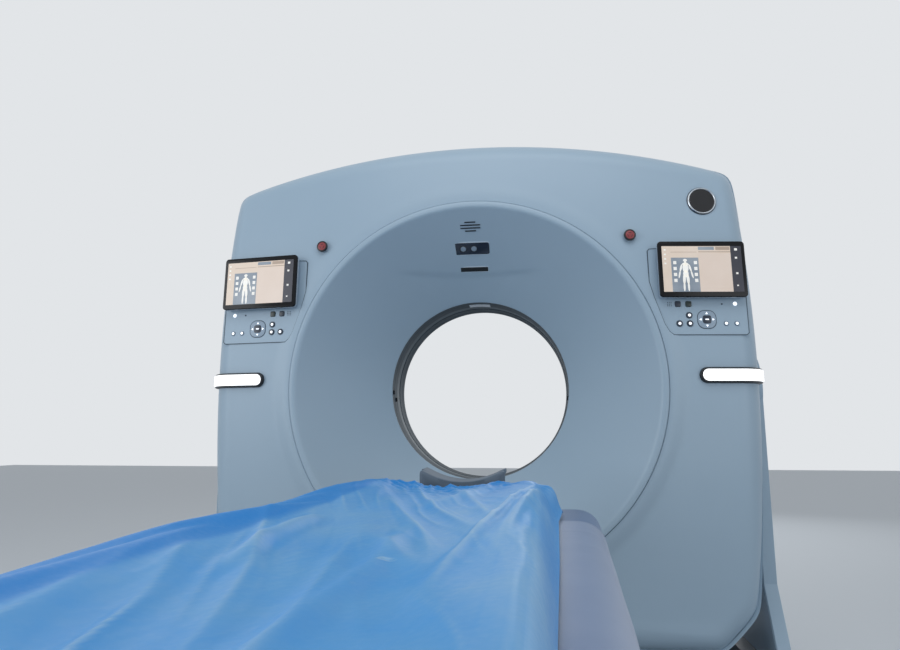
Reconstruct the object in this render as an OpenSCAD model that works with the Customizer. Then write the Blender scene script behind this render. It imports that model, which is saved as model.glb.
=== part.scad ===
// Whole-body ct scanner: tilting gantry with a spinning scan ring, and a patient table.
// Origin: on the floor under the scan centre. +X to the right of a viewer at the table,
// +Y from the table into the gantry, +Z up.

/* [Gantry] */
// Height of the scan centre above the floor
iso_h = 1020; // [1015:5:1040]
// Radius of the patient bore
bore_r = 350; // [340:5:355]
// Length of the straight part of the bore
bore_len = 240; // [230:10:250]
// Half width of the gantry at the scan centre's height
gantry_half_w = 1000; // [990:5:1005]
// Height of the arched top above the scan centre
gantry_top = 922; // [915:1:930]
// Half depth of the gantry at its fullest point
gantry_half_d = 432; // [425:1:440]
// Outer radius of the entry funnel's lip
funnel_r = 676; // [670:1:680]
// Thickness of the cover panels
cover_wall = 12; // [8:1:14]

/* [Control panels] */
// Width of each display
display_w = 302; // [290:2:310]
// Height of each display
display_h = 200; // [190:2:206]
// Distance of each display's middle from the scan centre, sideways
display_x = 806; // [800:1:812]
// Height of each display's middle above the scan centre
display_z = 391; // [386:1:396]
// Radius of the round navigation pad
nav_r = 33; // [30:1:34]
// Travel of the keys
key_travel = 2.5; // [1.5:0.5:3]

/* [Table] */
// Height of the table's deck above the floor, as it stands in the picture
deck_h = 650; // [650:1:652]
// Half width of the deck at the gantry end
deck_half_w = 385; // [378:1:392]
// Where the deck ends in front of the gantry
deck_head_y = -905; // [-910:1:-903]
// Length of the deck
deck_len = 2290; // [2250:10:2320]
// Half width of the sliding cradle
cradle_half_w = 215; // [205:1:220]
// Where the headrest's rim lies
headrest_tip_y = -600; // [-612:2:-598]

/* [Hidden] */
round_fn = 180;
smooth_fn = 360;
// Cover form: large spheres front and back, arched rims at the top and the sides
face_ball_r = 6500;
face_ball_z = 100;
top_arc_r = 3280;
side_arc_r = 6900;
side_arc_z = 20;
corner_r = 1225;
belly_gap = 80;
belly_r = iso_h - belly_gap;
rim_round = 90;
rim_first = 26;
reach = 560;
seam = 0.9;
skin_gap = 0.4;
split_y = 262;
top_split = 700;
// Funnel
lip_w = 26;
lip_front_y = -412;
funnel_wall = 8;
neck_y = bore_len / 2;
cover_hole_r = funnel_r - 10;
window_half = 25;
// Fittings on the funnel's upper slope: distance down the slope, sizes and sideways place
speaker_dist = 77;
camera_dist = 170;
camera_x = -9;
camera_w = 136;
camera_h = 52;
laser_dist = 262;
laser_w = 115;
laser_h = 20;
fitting_gap = 0.5;
liner_wall = 6;
// Tilt frame and bearing
frame_y = 120;
frame_t = 40;
trunnion_r = 45;
arm_out = gantry_half_w - 55;
arm_in = arm_out - 83;
race_in_r = 430;
race_mid_r = 498;
race_out_r = 560;
race_gap = 2;
post_r = 22;
// Places of the cover posts: sideways, up, and the height of the edge nearest the cover
post_x = gantry_half_w - 200;
POST_SPOTS = [[post_x, 610, 632], [post_x, -560, -582]];
// Rotor
rotor_gap = 155;
belly_rotor_gap = 95;
rotor_r = min(gantry_half_w - rotor_gap, belly_r - belly_rotor_gap);
rotor_hole_in = 145;
rotor_hole_r = 60;
hub_r = 392;
hub_t = 20;
disc_y = 18;
disc_t = 40;
source_h = 600;
tube_r = 80;
detector_gap = 38;
detector_r = source_h + hub_r + hub_t + detector_gap;
detector_t = 60;
detector_fan = detector_r + detector_t + 190;
detector_half_deg = 25;
tank_x = 575;
tank_w = rotor_r - 55 - tank_x;
tank_h = 300;
tank_deep = 160;
weight_h = 125;
weight_half_w = 600;
weight_drop = 900;
weight_deep = 90;
slip_r = 438;
slip_y = -118;
slip_len = 46;
// Pedestals
pedestal_in = gantry_half_w + 10;
pedestal_t = 38;
pedestal_half_d = 142;
pedestal_top = 150;
skid_h = 60;
pedestal_cover_t = 6;
beam_y = 280;
beam_w = 100;
gantry_bolt_x = 920;
gantry_bolt_r = 11;
// Panels
panel_yaw = 7;
panel_pitch = 1.94;
panel_y = -409;
display_t = 24;
key_plane = -34;
key_proud = 3;
key_len = 12;
key_clear = 0.4;
board_t = 4;
insert_t = 8;
board_gap = 13;
square_key = 20;
ring_key_r = 11;
white_key_r = 8;
stop_x = 565;
stop_z = 523;
stop_r = 21;
stop_cap_t = 9;
stop_stem_r = 15.6;
stop_stem_len = 22;
stop_travel = 6;
grip_in_x = gantry_half_w - 221;
grip_z = 24;
grip_h = 57;
grip_t = 14;
light_t = 3;
light_inset = 7;
grip_back_y = -250;
badge_x = gantry_half_w - 170;
badge_z = 655;
badge_r = 53;
badge_t = 6;
// Table
column_y = -2150;
column_half_w = 285;
column_half_l = 560;
column_wall = 5;
base_plate_t = 25;
column_top = 300;
stage_low = 120;
stage_top = 425;
inner_low = 200;
frame_low = 470;
pad_gap = 0.5;
table_bolt_x = 250;
table_bolt_y = 500;
table_bolt_r = 9;
deck_taper = 117;
sheet_t = 3;
hem = 12;
deck_wall = 18;
rail_x = 60;
rail_top = 6.5;
tray_r = 600;
tray_wall = 22;
tray_axis_h = deck_h + 5 + tray_r + tray_wall;
pad_t = 10;
rest_r = 231;
rest_t = 20;
rest_half_w = 127;
rest_len = 150;
rest_heel = 50;
rest_low = deck_h + 36;
rest_top = deck_h + 94;
rest_axis_h = deck_h + 56 + rest_r;
rest_near_y = headrest_tip_y - rest_len;
tongue_half_w = 60;
tongue_low = deck_h + 8;
drape_right = 262;
drape_left = -deck_half_w - 15;
drape_edge = 1 - deck_half_w;
drape_head_y = -985;
drape_foot_y = -2900;
drape_t = 3;

SIDES = [1, -1];
SIDE_NAMES = ["right", "left"];
KEY_KINDS = ["square_key_inner", "square_key_outer", "ring_key_top", "ring_key_low",
             "ring_key_corner", "white_key_inner", "white_key_outer", "nav_pad"];
// Places of the keys on each panel, outward and upward from the display's middle
KEY_SPOTS = [[-83, -118], [-46, -118], [-46, -158], [-45, -187], [-81, -187],
             [80, -187], [117, -187], [14, -173]];
key_names = [for (kind = KEY_KINDS, side = SIDE_NAMES) str(kind, "_", side)];
stop_names = [for (side = SIDE_NAMES) str("stop_button_", side)];

// Moves children from the scan centre's frame to the floor's frame
module at_iso() {
    translate([0, 0, iso_h]) children();
}

// Turns a round profile so that its axis runs along the bore
module along_bore() {
    rotate([-90, 0, 0]) children();
}

// Both sides of the gantry, the second one mirrored
module both_sides() {
    for (side = SIDES) mirror([side > 0 ? 0 : 1, 0, 0]) children();
}

// Panel frame on the right: x outward along the panel, y up, z out of the panel
module at_panel() {
    translate([display_x, panel_y, iso_h + display_z]) rotate([0, 0, panel_yaw])
        rotate([90 - panel_pitch, 0, 0]) children();
}

// Ring about the bore's axis, between two radii and two depths
module bore_ring(r_out, r_in, y0, y1) {
    along_bore() rotate_extrude($fn = smooth_fn)
        polygon([[r_in, y0], [r_out, y0], [r_out, y1], [r_in, y1]]);
}

// Disc along the bore's axis with a rounded rim, which gives a cover edge its arch
module rim_disc(r, rim_y) {
    along_bore() rotate_extrude($fn = smooth_fn)
        polygon([[0, -reach], [r - rim_round, -reach], [r - rim_round, -rim_y],
            [r - rim_first, -rim_y + rim_first], [r, -rim_y + rim_round],
            [r, rim_y - rim_round], [r - rim_first, rim_y - rim_first],
            [r - rim_round, rim_y], [r - rim_round, reach], [0, reach]]);
}

// Ball whose near side is the front face, set in by d
module face_ball(d) {
    translate([0, face_ball_r - gantry_half_d, face_ball_z])
        sphere(r = face_ball_r - d, $fn = smooth_fn);
}

// Outer form of the gantry about the scan centre, set in by d
module gantry_form(d) {
    top_rim = gantry_half_d - 41 - d;
    side_rim = gantry_half_d - 60 - d;
    intersection() {
        face_ball(d);
        mirror([0, 1, 0]) face_ball(d);
        translate([0, 0, gantry_top - top_arc_r]) rim_disc(top_arc_r - d, top_rim);
        translate([gantry_half_w - side_arc_r, 0, side_arc_z]) rim_disc(side_arc_r - d, side_rim);
        translate([side_arc_r - gantry_half_w, 0, side_arc_z]) rim_disc(side_arc_r - d, side_rim);
        rim_disc(corner_r - d, side_rim - 30);
        union() {
            rotate([0, 90, 0]) cylinder(r = belly_r - d, h = 4 * gantry_half_w, center = true,
                $fn = smooth_fn);
            translate([-2 * gantry_half_w, -reach, 0])
                cube([4 * gantry_half_w, 2 * reach, 2 * gantry_top]);
        }
    }
}

// Hollow gantry skin between two depths
module gantry_skin(y0, y1) {
    intersection() {
        difference() {
            gantry_form(0);
            gantry_form(cover_wall);
        }
        translate([-2 * gantry_half_w, y0, -2 * gantry_top])
            cube([4 * gantry_half_w, y1 - y0, 4 * gantry_top]);
    }
}

// Depth of the front face's ball, set in by d, at a distance from its middle
function face_y(x, z, d) =
    face_ball_r - gantry_half_d - sqrt(pow(face_ball_r - d, 2) - x * x - pow(z - face_ball_z, 2));

// Front outline of the gantry, set in by d, down to a height under the scan centre
module gantry_outline(d, low) {
    intersection() {
        translate([0, gantry_top - top_arc_r]) circle(r = top_arc_r - d, $fn = smooth_fn);
        side_bounds(d);
        circle(r = corner_r - d, $fn = smooth_fn);
        translate([-2 * gantry_half_w, -low]) square([4 * gantry_half_w, 4 * gantry_top]);
    }
}

// Part between the two side arcs, set in by d
module side_bounds(d) {
    intersection() {
        translate([gantry_half_w - side_arc_r, side_arc_z])
            circle(r = side_arc_r - d, $fn = smooth_fn);
        translate([side_arc_r - gantry_half_w, side_arc_z])
            circle(r = side_arc_r - d, $fn = smooth_fn);
    }
}

// Frame square to the curved front at one place, lifted off it by d: y up, z outward
module at_cover(x, z, d) {
    lean = asin((z - face_ball_z) / face_ball_r);
    turn = asin(x / (face_ball_r * cos(lean)));
    translate([x, face_y(x, z, -d), iso_h + z]) rotate([0, 0, turn])
        rotate([90 - lean, 0, 0]) children();
}

// Outline of the control panel insert, grown by g, in the panel frame
module panel_outline(g) {
    polygon([[-140 - g, 86 + g], [-172 - g, 84 + g], [-179 - g, 76 + g], [-179 - g, -36],
        [-165 - g, -92], [-133 - g, -190 - g], [-118 - g, -216 - g], [-103 - g, -228 - g],
        [150 + g, -228 - g], [158 + g, -220 - g], [158 + g, 86 + g]]);
}

module panel_block(g) {
    at_panel() translate([0, 0, -90]) linear_extrude(90) panel_outline(g);
}

// Steel base of the gantry on the floor, with the anchor holes
module floor_frame() {
    color("dimgray") difference() {
        union() {
            both_sides() translate([pedestal_in - 60, -beam_y - beam_w / 2, 0])
                cube([60 + pedestal_t, 2 * beam_y + beam_w, skid_h]);
            for (s = SIDES) translate([-pedestal_in + 60, s * beam_y - beam_w / 2, 0])
                cube([2 * pedestal_in - 120, beam_w, skid_h]);
        }
        for (s = SIDES, t = SIDES) translate([s * gantry_bolt_x, t * beam_y, -1])
            cylinder(r = gantry_bolt_r, h = skid_h + 2, $fn = 48);
    }
}

// Side outline of a pedestal, grown by g
module pedestal_outline(g) {
    square_h = iso_h - skid_h;
    circle(r = pedestal_top + g, $fn = round_fn);
    translate([-pedestal_half_d - g, -square_h]) square([2 * (pedestal_half_d + g), square_h]);
    polygon([[-pedestal_half_d - g - 120, -square_h], [pedestal_half_d + g + 120, -square_h],
        [pedestal_half_d + g, -square_h + 260], [-pedestal_half_d - g, -square_h + 260]]);
}

// Slab of a pedestal's outline from x0 with thickness t, on the right
module pedestal_slab(g, x0, t) {
    translate([x0, 0, iso_h]) rotate([90, 0, 90]) linear_extrude(t) pedestal_outline(g);
}

// Two steel side plates that carry the tilt bearings
module pedestals() {
    color("lightsteelblue") both_sides() difference() {
        pedestal_slab(0, pedestal_in, pedestal_t);
        translate([pedestal_in - 1, 0, iso_h]) rotate([0, 90, 0])
            cylinder(r = trunnion_r + 0.05, h = pedestal_t + 2, $fn = round_fn);
    }
}

// Plastic covers over the outer faces of the side plates
module pedestal_covers() {
    color("lightsteelblue") both_sides() difference() {
        pedestal_slab(pedestal_cover_t, pedestal_in + 2, pedestal_t + pedestal_cover_t);
        pedestal_slab(skin_gap, pedestal_in, pedestal_t + 3);
    }
}

// Flat floor channel that ties the table to the gantry and carries the cables
module floor_duct() {
    duct_end = column_y + column_half_l + 30;
    color("gray") translate([-120, duct_end, 0])
        cube([240, -beam_y - beam_w / 2 - duct_end, 30]);
}

// Floor plate of the table with its anchor holes and the lift's jack
module table_base() {
    color("dimgray") translate([0, column_y, 0]) {
        difference() {
            translate([-column_half_w - 15, -column_half_l - 30, 0])
                cube([2 * column_half_w + 30, 2 * column_half_l + 60, base_plate_t]);
            for (s = SIDES, t = SIDES) translate([s * table_bolt_x, t * table_bolt_y, -1])
                cylinder(r = table_bolt_r, h = base_plate_t + 2, $fn = 48);
        }
        for (s = SIDES) translate([0, s * 300, base_plate_t])
            cylinder(r = 42, h = 150, $fn = 64);
    }
}

// Open box about the column's axis between two heights
module column_box(inset, z0, z1) {
    w = column_half_w - inset;
    l = column_half_l - inset;
    translate([0, column_y, 0]) difference() {
        translate([-w, -l, z0]) cube([2 * w, 2 * l, z1 - z0]);
        translate([-w + column_wall, -l + column_wall, z0 - 1])
            cube([2 * (w - column_wall), 2 * (l - column_wall), z1 - z0 + 2]);
    }
}

// Slide pads on the four faces of a column box that is set in by inset
module slide_pads(inset, z0, z1) {
    w = column_half_w - inset;
    l = column_half_l - inset;
    out = 4 - pad_gap;
    for (s = SIDES, t = SIDES) translate([0, column_y, z0]) {
        translate([s * (w + out / 2) - out / 2, t * 300 - 40, 0]) cube([out, 80, z1 - z0]);
        translate([t * 150 - 40, s * (l + out / 2) - out / 2, 0]) cube([80, out, z1 - z0]);
    }
}

// Fixed outer skirt of the telescoping lift
module table_base_cover() {
    color("lightsteelblue") column_box(0, base_plate_t, column_top);
}

// Middle skirt of the telescoping lift
module lift_stage() {
    color("lightsteelblue") {
        column_box(column_wall + 4, stage_low, stage_top);
        slide_pads(column_wall + 4, stage_low + 10, stage_low + 60);
    }
}

// Post along the bore's axis, short of the covers' inner faces at both ends
module cover_post(x, z, z_out, inset) {
    end_y = face_y(abs(x) + post_r, z_out, inset);
    translate([x, end_y, z]) along_bore() cylinder(r = post_r, h = -2 * end_y, $fn = 48);
}

// Frame that tilts: back plate, side arms with trunnions, and posts that carry the covers
module tilt_frame() {
    inset = cover_wall + skin_gap;
    plate_low = sqrt(pow(belly_r - inset, 2) - pow(frame_y + frame_t, 2));
    color("slategray") at_iso() {
        difference() {
            translate([0, frame_y + frame_t, 0]) rotate([90, 0, 0]) linear_extrude(frame_t)
                gantry_outline(inset, plate_low);
            along_bore() translate([0, 0, frame_y - 1])
                cylinder(r = race_in_r + 20, h = frame_t + 2, $fn = smooth_fn);
        }
        for (s = SIDES, t = POST_SPOTS) cover_post(s * t[0], t[1], t[2], inset);
        both_sides() {
            translate([arm_in, -60, -120]) cube([arm_out - arm_in, 60 + frame_y, 240]);
            translate([arm_out, 0, 0]) rotate([0, 90, 0])
                cylinder(r = trunnion_r, h = pedestal_in + pedestal_t - arm_out, $fn = round_fn);
        }
    }
}

// Front panel with the round opening for the funnel and the places of the two control panels
module front_cover() {
    color("lightsteelblue") difference() {
        at_iso() gantry_skin(-reach, -split_y);
        at_iso() along_bore() cylinder(r = cover_hole_r, h = 2 * reach, center = true,
            $fn = smooth_fn);
        both_sides() panel_block(seam);
        both_sides() at_cover(stop_x, stop_z, 0)
            cylinder(r = stop_stem_r + key_clear, h = 4 * cover_wall, center = true, $fn = 64);
    }
}

// Back panel, the same form with a plain round opening
module rear_cover() {
    color("lightsteelblue") difference() {
        at_iso() gantry_skin(split_y, reach);
        at_iso() along_bore() cylinder(r = cover_hole_r, h = 2 * reach, center = true,
            $fn = smooth_fn);
    }
}

// Top panel between the front and the back, down to the shoulders
module top_cover() {
    color("lightsteelblue") intersection() {
        at_iso() gantry_skin(-split_y + seam, split_y - seam);
        translate([-gantry_half_w, -reach, iso_h + top_split])
            cube([2 * gantry_half_w, 2 * reach, gantry_top]);
    }
}

// Side panels and belly between the front and the back, with the trunnion holes
module side_covers() {
    color("lightsteelblue") difference() {
        at_iso() gantry_skin(-split_y + seam, split_y - seam);
        translate([-2 * gantry_half_w, -reach, iso_h + top_split - seam])
            cube([4 * gantry_half_w, 2 * reach, gantry_top]);
        translate([-2 * gantry_half_w, 0, iso_h]) rotate([0, 90, 0])
            cylinder(r = trunnion_r + 8, h = 4 * gantry_half_w, $fn = 96);
    }
}

// Funnel from the lip on the cover to the neck of the bore
module funnel() {
    r_in = funnel_r - lip_w;
    mid_r = bore_r + (r_in - bore_r) * 0.42;
    mid_y = lip_front_y + (-neck_y - lip_front_y) * 0.62;
    difference() {
        along_bore() rotate_extrude($fn = smooth_fn)
            polygon([[bore_r, -neck_y], [mid_r - 10, mid_y], [r_in, lip_front_y + 3],
                [r_in + 5, lip_front_y], [funnel_r - 8, lip_front_y], [funnel_r, lip_front_y + 8],
                [funnel_r, lip_front_y + 45], [cover_hole_r - skin_gap, lip_front_y + 45],
                [mid_r - 10 + funnel_wall, mid_y + funnel_wall],
                [bore_r + funnel_wall, -neck_y]]);
        difference() {
            face_ball(-skin_gap);
            along_bore() cylinder(r = cover_hole_r - skin_gap, h = 2 * reach, center = true,
                $fn = smooth_fn);
        }
    }
}

module front_funnel() {
    color("lightsteelblue") at_iso() difference() {
        funnel();
        camera_window(fitting_gap);
    }
}

module rear_funnel() {
    color("lightsteelblue") at_iso() mirror([0, 1, 0]) funnel();
}

// Two short rings that line the bore on either side of the scan window
module bore_liner() {
    color("lightslategray") at_iso() {
        bore_ring(bore_r + liner_wall, bore_r, -neck_y + skin_gap, -window_half);
        bore_ring(bore_r + liner_wall, bore_r, window_half, neck_y - skin_gap);
    }
}

// Thin band that lets the beam through
module scan_window() {
    color("gainsboro") at_iso() bore_ring(bore_r + 3, bore_r + 1.5, -window_half, window_half);
}

// Frame on the funnel's upper slope: x across, y up the slope, z out of the slope
module at_funnel_top(dist) {
    r_in = funnel_r - lip_w;
    mid_r = bore_r + (r_in - bore_r) * 0.42 - 10;
    mid_y = lip_front_y + (-neck_y - lip_front_y) * 0.62;
    slope = atan2(mid_y - lip_front_y - 3, r_in - mid_r);
    translate([0, lip_front_y + 3 + dist * sin(slope), r_in - dist * cos(slope)])
        rotate([slope + 90, 0, 0]) children();
}

// Recesses of the camera panel and the laser slot, grown by g
module camera_window(g) {
    at_funnel_top(camera_dist) translate([camera_x - camera_w / 2 - g, -camera_h / 2 - g, -3])
        cube([camera_w + 2 * g, camera_h + 2 * g, 30]);
    at_funnel_top(laser_dist) translate([camera_x - laser_w / 2 - g, -laser_h / 2 - g, -2])
        cube([laser_w + 2 * g, laser_h + 2 * g, 30]);
}

// Dark panel on the funnel's top with the two camera eyes, and the laser slot below it
module camera_panel() {
    color([0.08, 0.09, 0.11]) at_iso() {
        at_funnel_top(camera_dist) {
            translate([camera_x - camera_w / 2, -camera_h / 2, -3]) cube([camera_w, camera_h, 4]);
            for (x = [-42, -1]) translate([x, 0, 0.5]) cylinder(r = 12, h = 2, $fn = 48);
        }
        at_funnel_top(laser_dist) translate([camera_x - laser_w / 2, -laser_h / 2, -2])
            cube([laser_w, laser_h, 2]);
    }
}

// Speaker grille above the camera panel
module speaker_grille() {
    color([0.10, 0.11, 0.12]) at_iso() at_funnel_top(speaker_dist)
        for (row = [-1.5, -0.5, 0.5, 1.5]) {
            bar_w = abs(row) > 1 ? 42 : 76;
            translate([camera_x - bar_w / 2, row * 12 - 2, 1.4]) cube([bar_w, 4, 1]);
        }
}

// Slab displays on short necks
module display_housings() {
    color([0.05, 0.05, 0.06]) both_sides() {
        at_panel() {
            translate([-display_w / 2, -display_h / 2, -display_t])
                cube([display_w, display_h, display_t - 1.2]);
            translate([-110, -70, key_plane]) cube([220, 140, -display_t - key_plane]);
        }
    }
}

// Glass faces of the displays
module display_screens() {
    color([0.85, 0.80, 0.74]) both_sides() at_panel()
        translate([-display_w / 2 + 4, -display_h / 2 + 4, -1.2])
            cube([display_w - 8, display_h - 8, 1.2]);
}

// Shape of a key of each kind, grown by g, from its back to its face
module key_shape(i, g, h) {
    if (i < 2)
        translate([-square_key / 2 - g, -square_key / 2 - g, 0])
            cube([square_key + 2 * g, square_key + 2 * g, h]);
    else if (i < 5)
        cylinder(r = ring_key_r + g, h = h, $fn = 64);
    else if (i < 7)
        cylinder(r = white_key_r + g, h = h, $fn = 64);
    else
        cylinder(r = nav_r + g, h = h, $fn = 96);
}

// Inserts around the displays, with the key holes and the board behind them
module control_panels() {
    color("lightsteelblue") both_sides() at_panel() {
        difference() {
            translate([0, 0, key_plane - insert_t]) linear_extrude(insert_t) panel_outline(0);
            for (i = [0:7]) translate([KEY_SPOTS[i][0], KEY_SPOTS[i][1], key_plane - insert_t - 1])
                key_shape(i, key_clear, insert_t + 2);
        }
        translate([-112, -218, key_plane - board_gap - board_t]) cube([258, 122, board_t]);
        for (x = [-106, 140], y = [-212, -102]) translate([x, y, key_plane - board_gap - 1])
            cylinder(r = 3, h = board_gap - insert_t + 2, $fn = 24);
    }
}

// Small lamps between the keys
module panel_lamps() {
    color("white") both_sides() at_panel() for (spot = [[116, -117, 7], [70, -118, 3]])
        translate([spot[0], spot[1], key_plane]) cylinder(r = spot[2], h = 1.5, $fn = 32);
}

// One key of kind i on the right side
module key(i) {
    shades = [[0.10, 0.19, 0.20], [0.10, 0.19, 0.20], [0.80, 0.83, 0.86], [0.80, 0.83, 0.86],
              [0.80, 0.83, 0.86], [0.95, 0.96, 0.97], [0.95, 0.96, 0.97], [0.88, 0.90, 0.92]];
    color(shades[i]) at_panel()
        translate([KEY_SPOTS[i][0], KEY_SPOTS[i][1], key_plane + key_proud - key_len])
            key_shape(i, 0, key_len);
}

// Latching stop button on the right side, with its stem through the cover
module stop_button() {
    color("firebrick") at_cover(stop_x, stop_z, 0) {
        translate([0, 0, stop_travel + 1]) cylinder(r = stop_r, h = stop_cap_t, $fn = 64);
        translate([0, 0, -stop_stem_len]) cylinder(r = stop_stem_r,
            h = stop_stem_len + stop_travel + 2, $fn = 64);
    }
}

// Stadium outline of a grip seen from the front, set in by s
module grip_block(s) {
    half = grip_h / 2 - s;
    translate([grip_in_x + grip_h / 2, -reach, grip_z]) along_bore() {
        cylinder(r = half, h = reach + grip_back_y - s, $fn = 96);
        translate([0, -half, 0]) cube([reach, 2 * half, reach + grip_back_y - s]);
    }
}

// Black grips that wrap the gantry's front corners
module grip_housings() {
    color([0.06, 0.06, 0.07]) at_iso() both_sides() intersection() {
        difference() {
            gantry_form(-grip_t);
            gantry_form(-skin_gap);
        }
        grip_block(0);
    }
}

// Lit lenses along the grips
module grip_lights() {
    color("white") at_iso() both_sides() intersection() {
        difference() {
            gantry_form(-grip_t - light_t);
            gantry_form(-grip_t - 0.1);
        }
        grip_block(light_inset);
    }
}

// Plain round badge in its place on the cover, square to the curved face
module badge() {
    color([0.12, 0.12, 0.14]) at_cover(badge_x, badge_z, skin_gap)
        cylinder(r = badge_r, h = badge_t, $fn = 96);
}

// Outer ring of the main bearing, fixed to the tilt frame
module bearing_outer() {
    color("silver") at_iso() bore_ring(race_out_r, race_mid_r + race_gap, disc_y + disc_t + 4,
        frame_y);
}

// Inner ring of the main bearing, which carries the rotor
module bearing_inner() {
    color("silver") at_iso() bore_ring(race_mid_r, race_in_r, disc_y + disc_t, frame_y - race_gap);
}

// Fixed brushes that feed the slip ring, on a post from the funnel
module brush_block() {
    color("saddlebrown") at_iso() difference() {
        union() {
            translate([-slip_r - 66, slip_y - 22, -50]) cube([66, 66, 100]);
            translate([-slip_r - 36, -reach / 2, 0]) along_bore()
                cylinder(r = 18, h = reach / 2 - 130, $fn = 48);
        }
        bore_ring(slip_r + 0.6, 100, slip_y - 60, 0);
        funnel_plug();
    }
}

// Solid space in front of the funnel's back face
module funnel_plug() {
    r_in = funnel_r - lip_w;
    mid_r = bore_r + (r_in - bore_r) * 0.42 - 10;
    mid_y = lip_front_y + (-neck_y - lip_front_y) * 0.62;
    along_bore() rotate_extrude($fn = smooth_fn)
        polygon([[0, -neck_y + 1], [bore_r + funnel_wall + skin_gap, -neck_y + 1],
            [mid_r + funnel_wall + skin_gap, mid_y + funnel_wall + skin_gap],
            [cover_hole_r, lip_front_y + 45 + skin_gap], [cover_hole_r, -reach], [0, -reach]]);
}

// Rotating disc with its hub
module rotor_disc() {
    color("darkgray") at_iso() difference() {
        union() {
            bore_ring(rotor_r, hub_r, disc_y, disc_y + disc_t);
            bore_ring(hub_r + hub_t, hub_r, slip_y, disc_y + 1);
        }
        for (a = [22.5:45:337.5]) rotate([0, a, 0]) translate([rotor_r - rotor_hole_in, disc_y - 1, 0])
            along_bore() cylinder(r = rotor_hole_r, h = disc_t + 2, $fn = 64);
    }
}

// X-ray tube housing with its end bells
module xray_tube() {
    color("gainsboro") at_iso() translate([0, 0, source_h + 40]) along_bore() {
        translate([0, 0, -170]) cylinder(r = tube_r, h = 170 + disc_y, $fn = 96);
        translate([0, 0, -205]) cylinder(r = tube_r - 22, h = 36, $fn = 96);
    }
}

// High-voltage tank and inverter
module generator() {
    color("steelblue") at_iso() {
        translate([-tank_x - tank_w, -tank_deep, -tank_h / 2])
            cube([tank_w, tank_deep + disc_y, tank_h]);
        translate([tank_x, -tank_deep, -20]) cube([tank_w, tank_deep + disc_y, tank_h / 2]);
    }
}

// Curved detector opposite the tube
module detector() {
    color("darkslategray") at_iso() intersection() {
        translate([0, 0, source_h])
            bore_ring(detector_r + detector_t, detector_r, -64, disc_y);
        translate([0, 0, source_h]) rotate([90, 0, 0]) linear_extrude(400, center = true)
            polygon([[0, 0], [-detector_fan * tan(detector_half_deg), -detector_fan],
                [detector_fan * tan(detector_half_deg), -detector_fan]]);
    }
}

// Beam collimator below the tube
module collimator() {
    color("goldenrod") at_iso() difference() {
        translate([-110, -60, source_h - 122]) cube([220, 60 + disc_y, 74]);
        translate([-80, -14, source_h - 123]) cube([160, 28, 76]);
    }
}

// Ring with the sliding contacts
module slip_ring() {
    color("peru") at_iso() difference() {
        bore_ring(slip_r, hub_r + hub_t, slip_y, slip_y + slip_len);
        for (k = [0:3]) bore_ring(slip_r + 1, slip_r - 3, slip_y + 6 + k * 10, slip_y + 10 + k * 10);
    }
}

// Balance weights low on the disc
module counterweight() {
    color("dimgray") at_iso() intersection() {
        bore_ring(rotor_r - 5, rotor_r - 5 - weight_h, -weight_deep, disc_y);
        rotate([90, 0, 0]) linear_extrude(400, center = true)
            polygon([[0, 0], [-weight_half_w, -weight_drop], [weight_half_w, -weight_drop]]);
    }
}

// Cross-section of the deck above a height, set in by d, at half width w
module deck_section(w, d, low) {
    polygon([[-w + d, low], [w - d, low], [w - d, deck_h - 60], [w - d - 18, deck_h - 26],
        [w - d - 58, deck_h - d], [-w + d + 58, deck_h - d], [-w + d + 18, deck_h - 26],
        [-w + d, deck_h - 60]]);
}

// Tapered deck above a height, its corners eased at the gantry end, set in by d
module deck_body(d, low) {
    steps = [[0, -9], [8, -3], [22, -1]];
    hull() {
        for (s = steps) translate([0, deck_head_y - s[0] - d, 0]) rotate([90, 0, 0])
            linear_extrude(0.5) deck_section(deck_half_w + s[1], d, low);
        translate([0, deck_head_y - deck_len + d, 0]) rotate([90, 0, 0])
            linear_extrude(0.5) deck_section(deck_half_w - deck_taper, d, low);
    }
}

// Deck frame, its rails and the inner column
module table_frame() {
    color("slategray") {
        difference() {
            deck_body(sheet_t + skin_gap, frame_low);
            deck_body(deck_wall, frame_low + deck_wall);
        }
        for (s = SIDES) translate([s * rail_x - 12, deck_head_y - deck_len + 40, deck_h - 8])
            cube([24, deck_len - 80, 8 + rail_top]);
        column_box(2 * column_wall + 8, inner_low, frame_low + 6);
        slide_pads(2 * column_wall + 8, inner_low + 10, inner_low + 60);
    }
}

// Fitted fabric cover over the deck
module table_cover() {
    color([0.50, 0.55, 0.65]) difference() {
        deck_body(0, frame_low + hem);
        deck_body(sheet_t, frame_low);
        translate([-110, deck_head_y - deck_len - 10, deck_h - 60])
            cube([220, deck_len + 20, 100]);
    }
}

// Length of arched plate about the tray's axis
module tray_arc(r_out, r_in, half_w, y0, y1) {
    intersection() {
        translate([0, y0, tray_axis_h]) along_bore() difference() {
            cylinder(r = r_out, h = y1 - y0, $fn = smooth_fn);
            translate([0, 0, -1]) cylinder(r = r_in, h = y1 - y0 + 2, $fn = smooth_fn);
        }
        translate([-half_w, y0, deck_h]) cube([2 * half_w, y1 - y0, 200]);
    }
}

// Sliding carbon cradle
module cradle() {
    color("darkslategray")
        tray_arc(tray_r + tray_wall, tray_r, cradle_half_w, deck_head_y - deck_len + 20, deck_head_y);
}

// Thin mattress in the cradle
module cradle_pad() {
    color("slategray") tray_arc(tray_r - 0.3, tray_r - pad_t, cradle_half_w - 20,
        deck_head_y - deck_len + 40, deck_head_y - 30);
}

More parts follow.
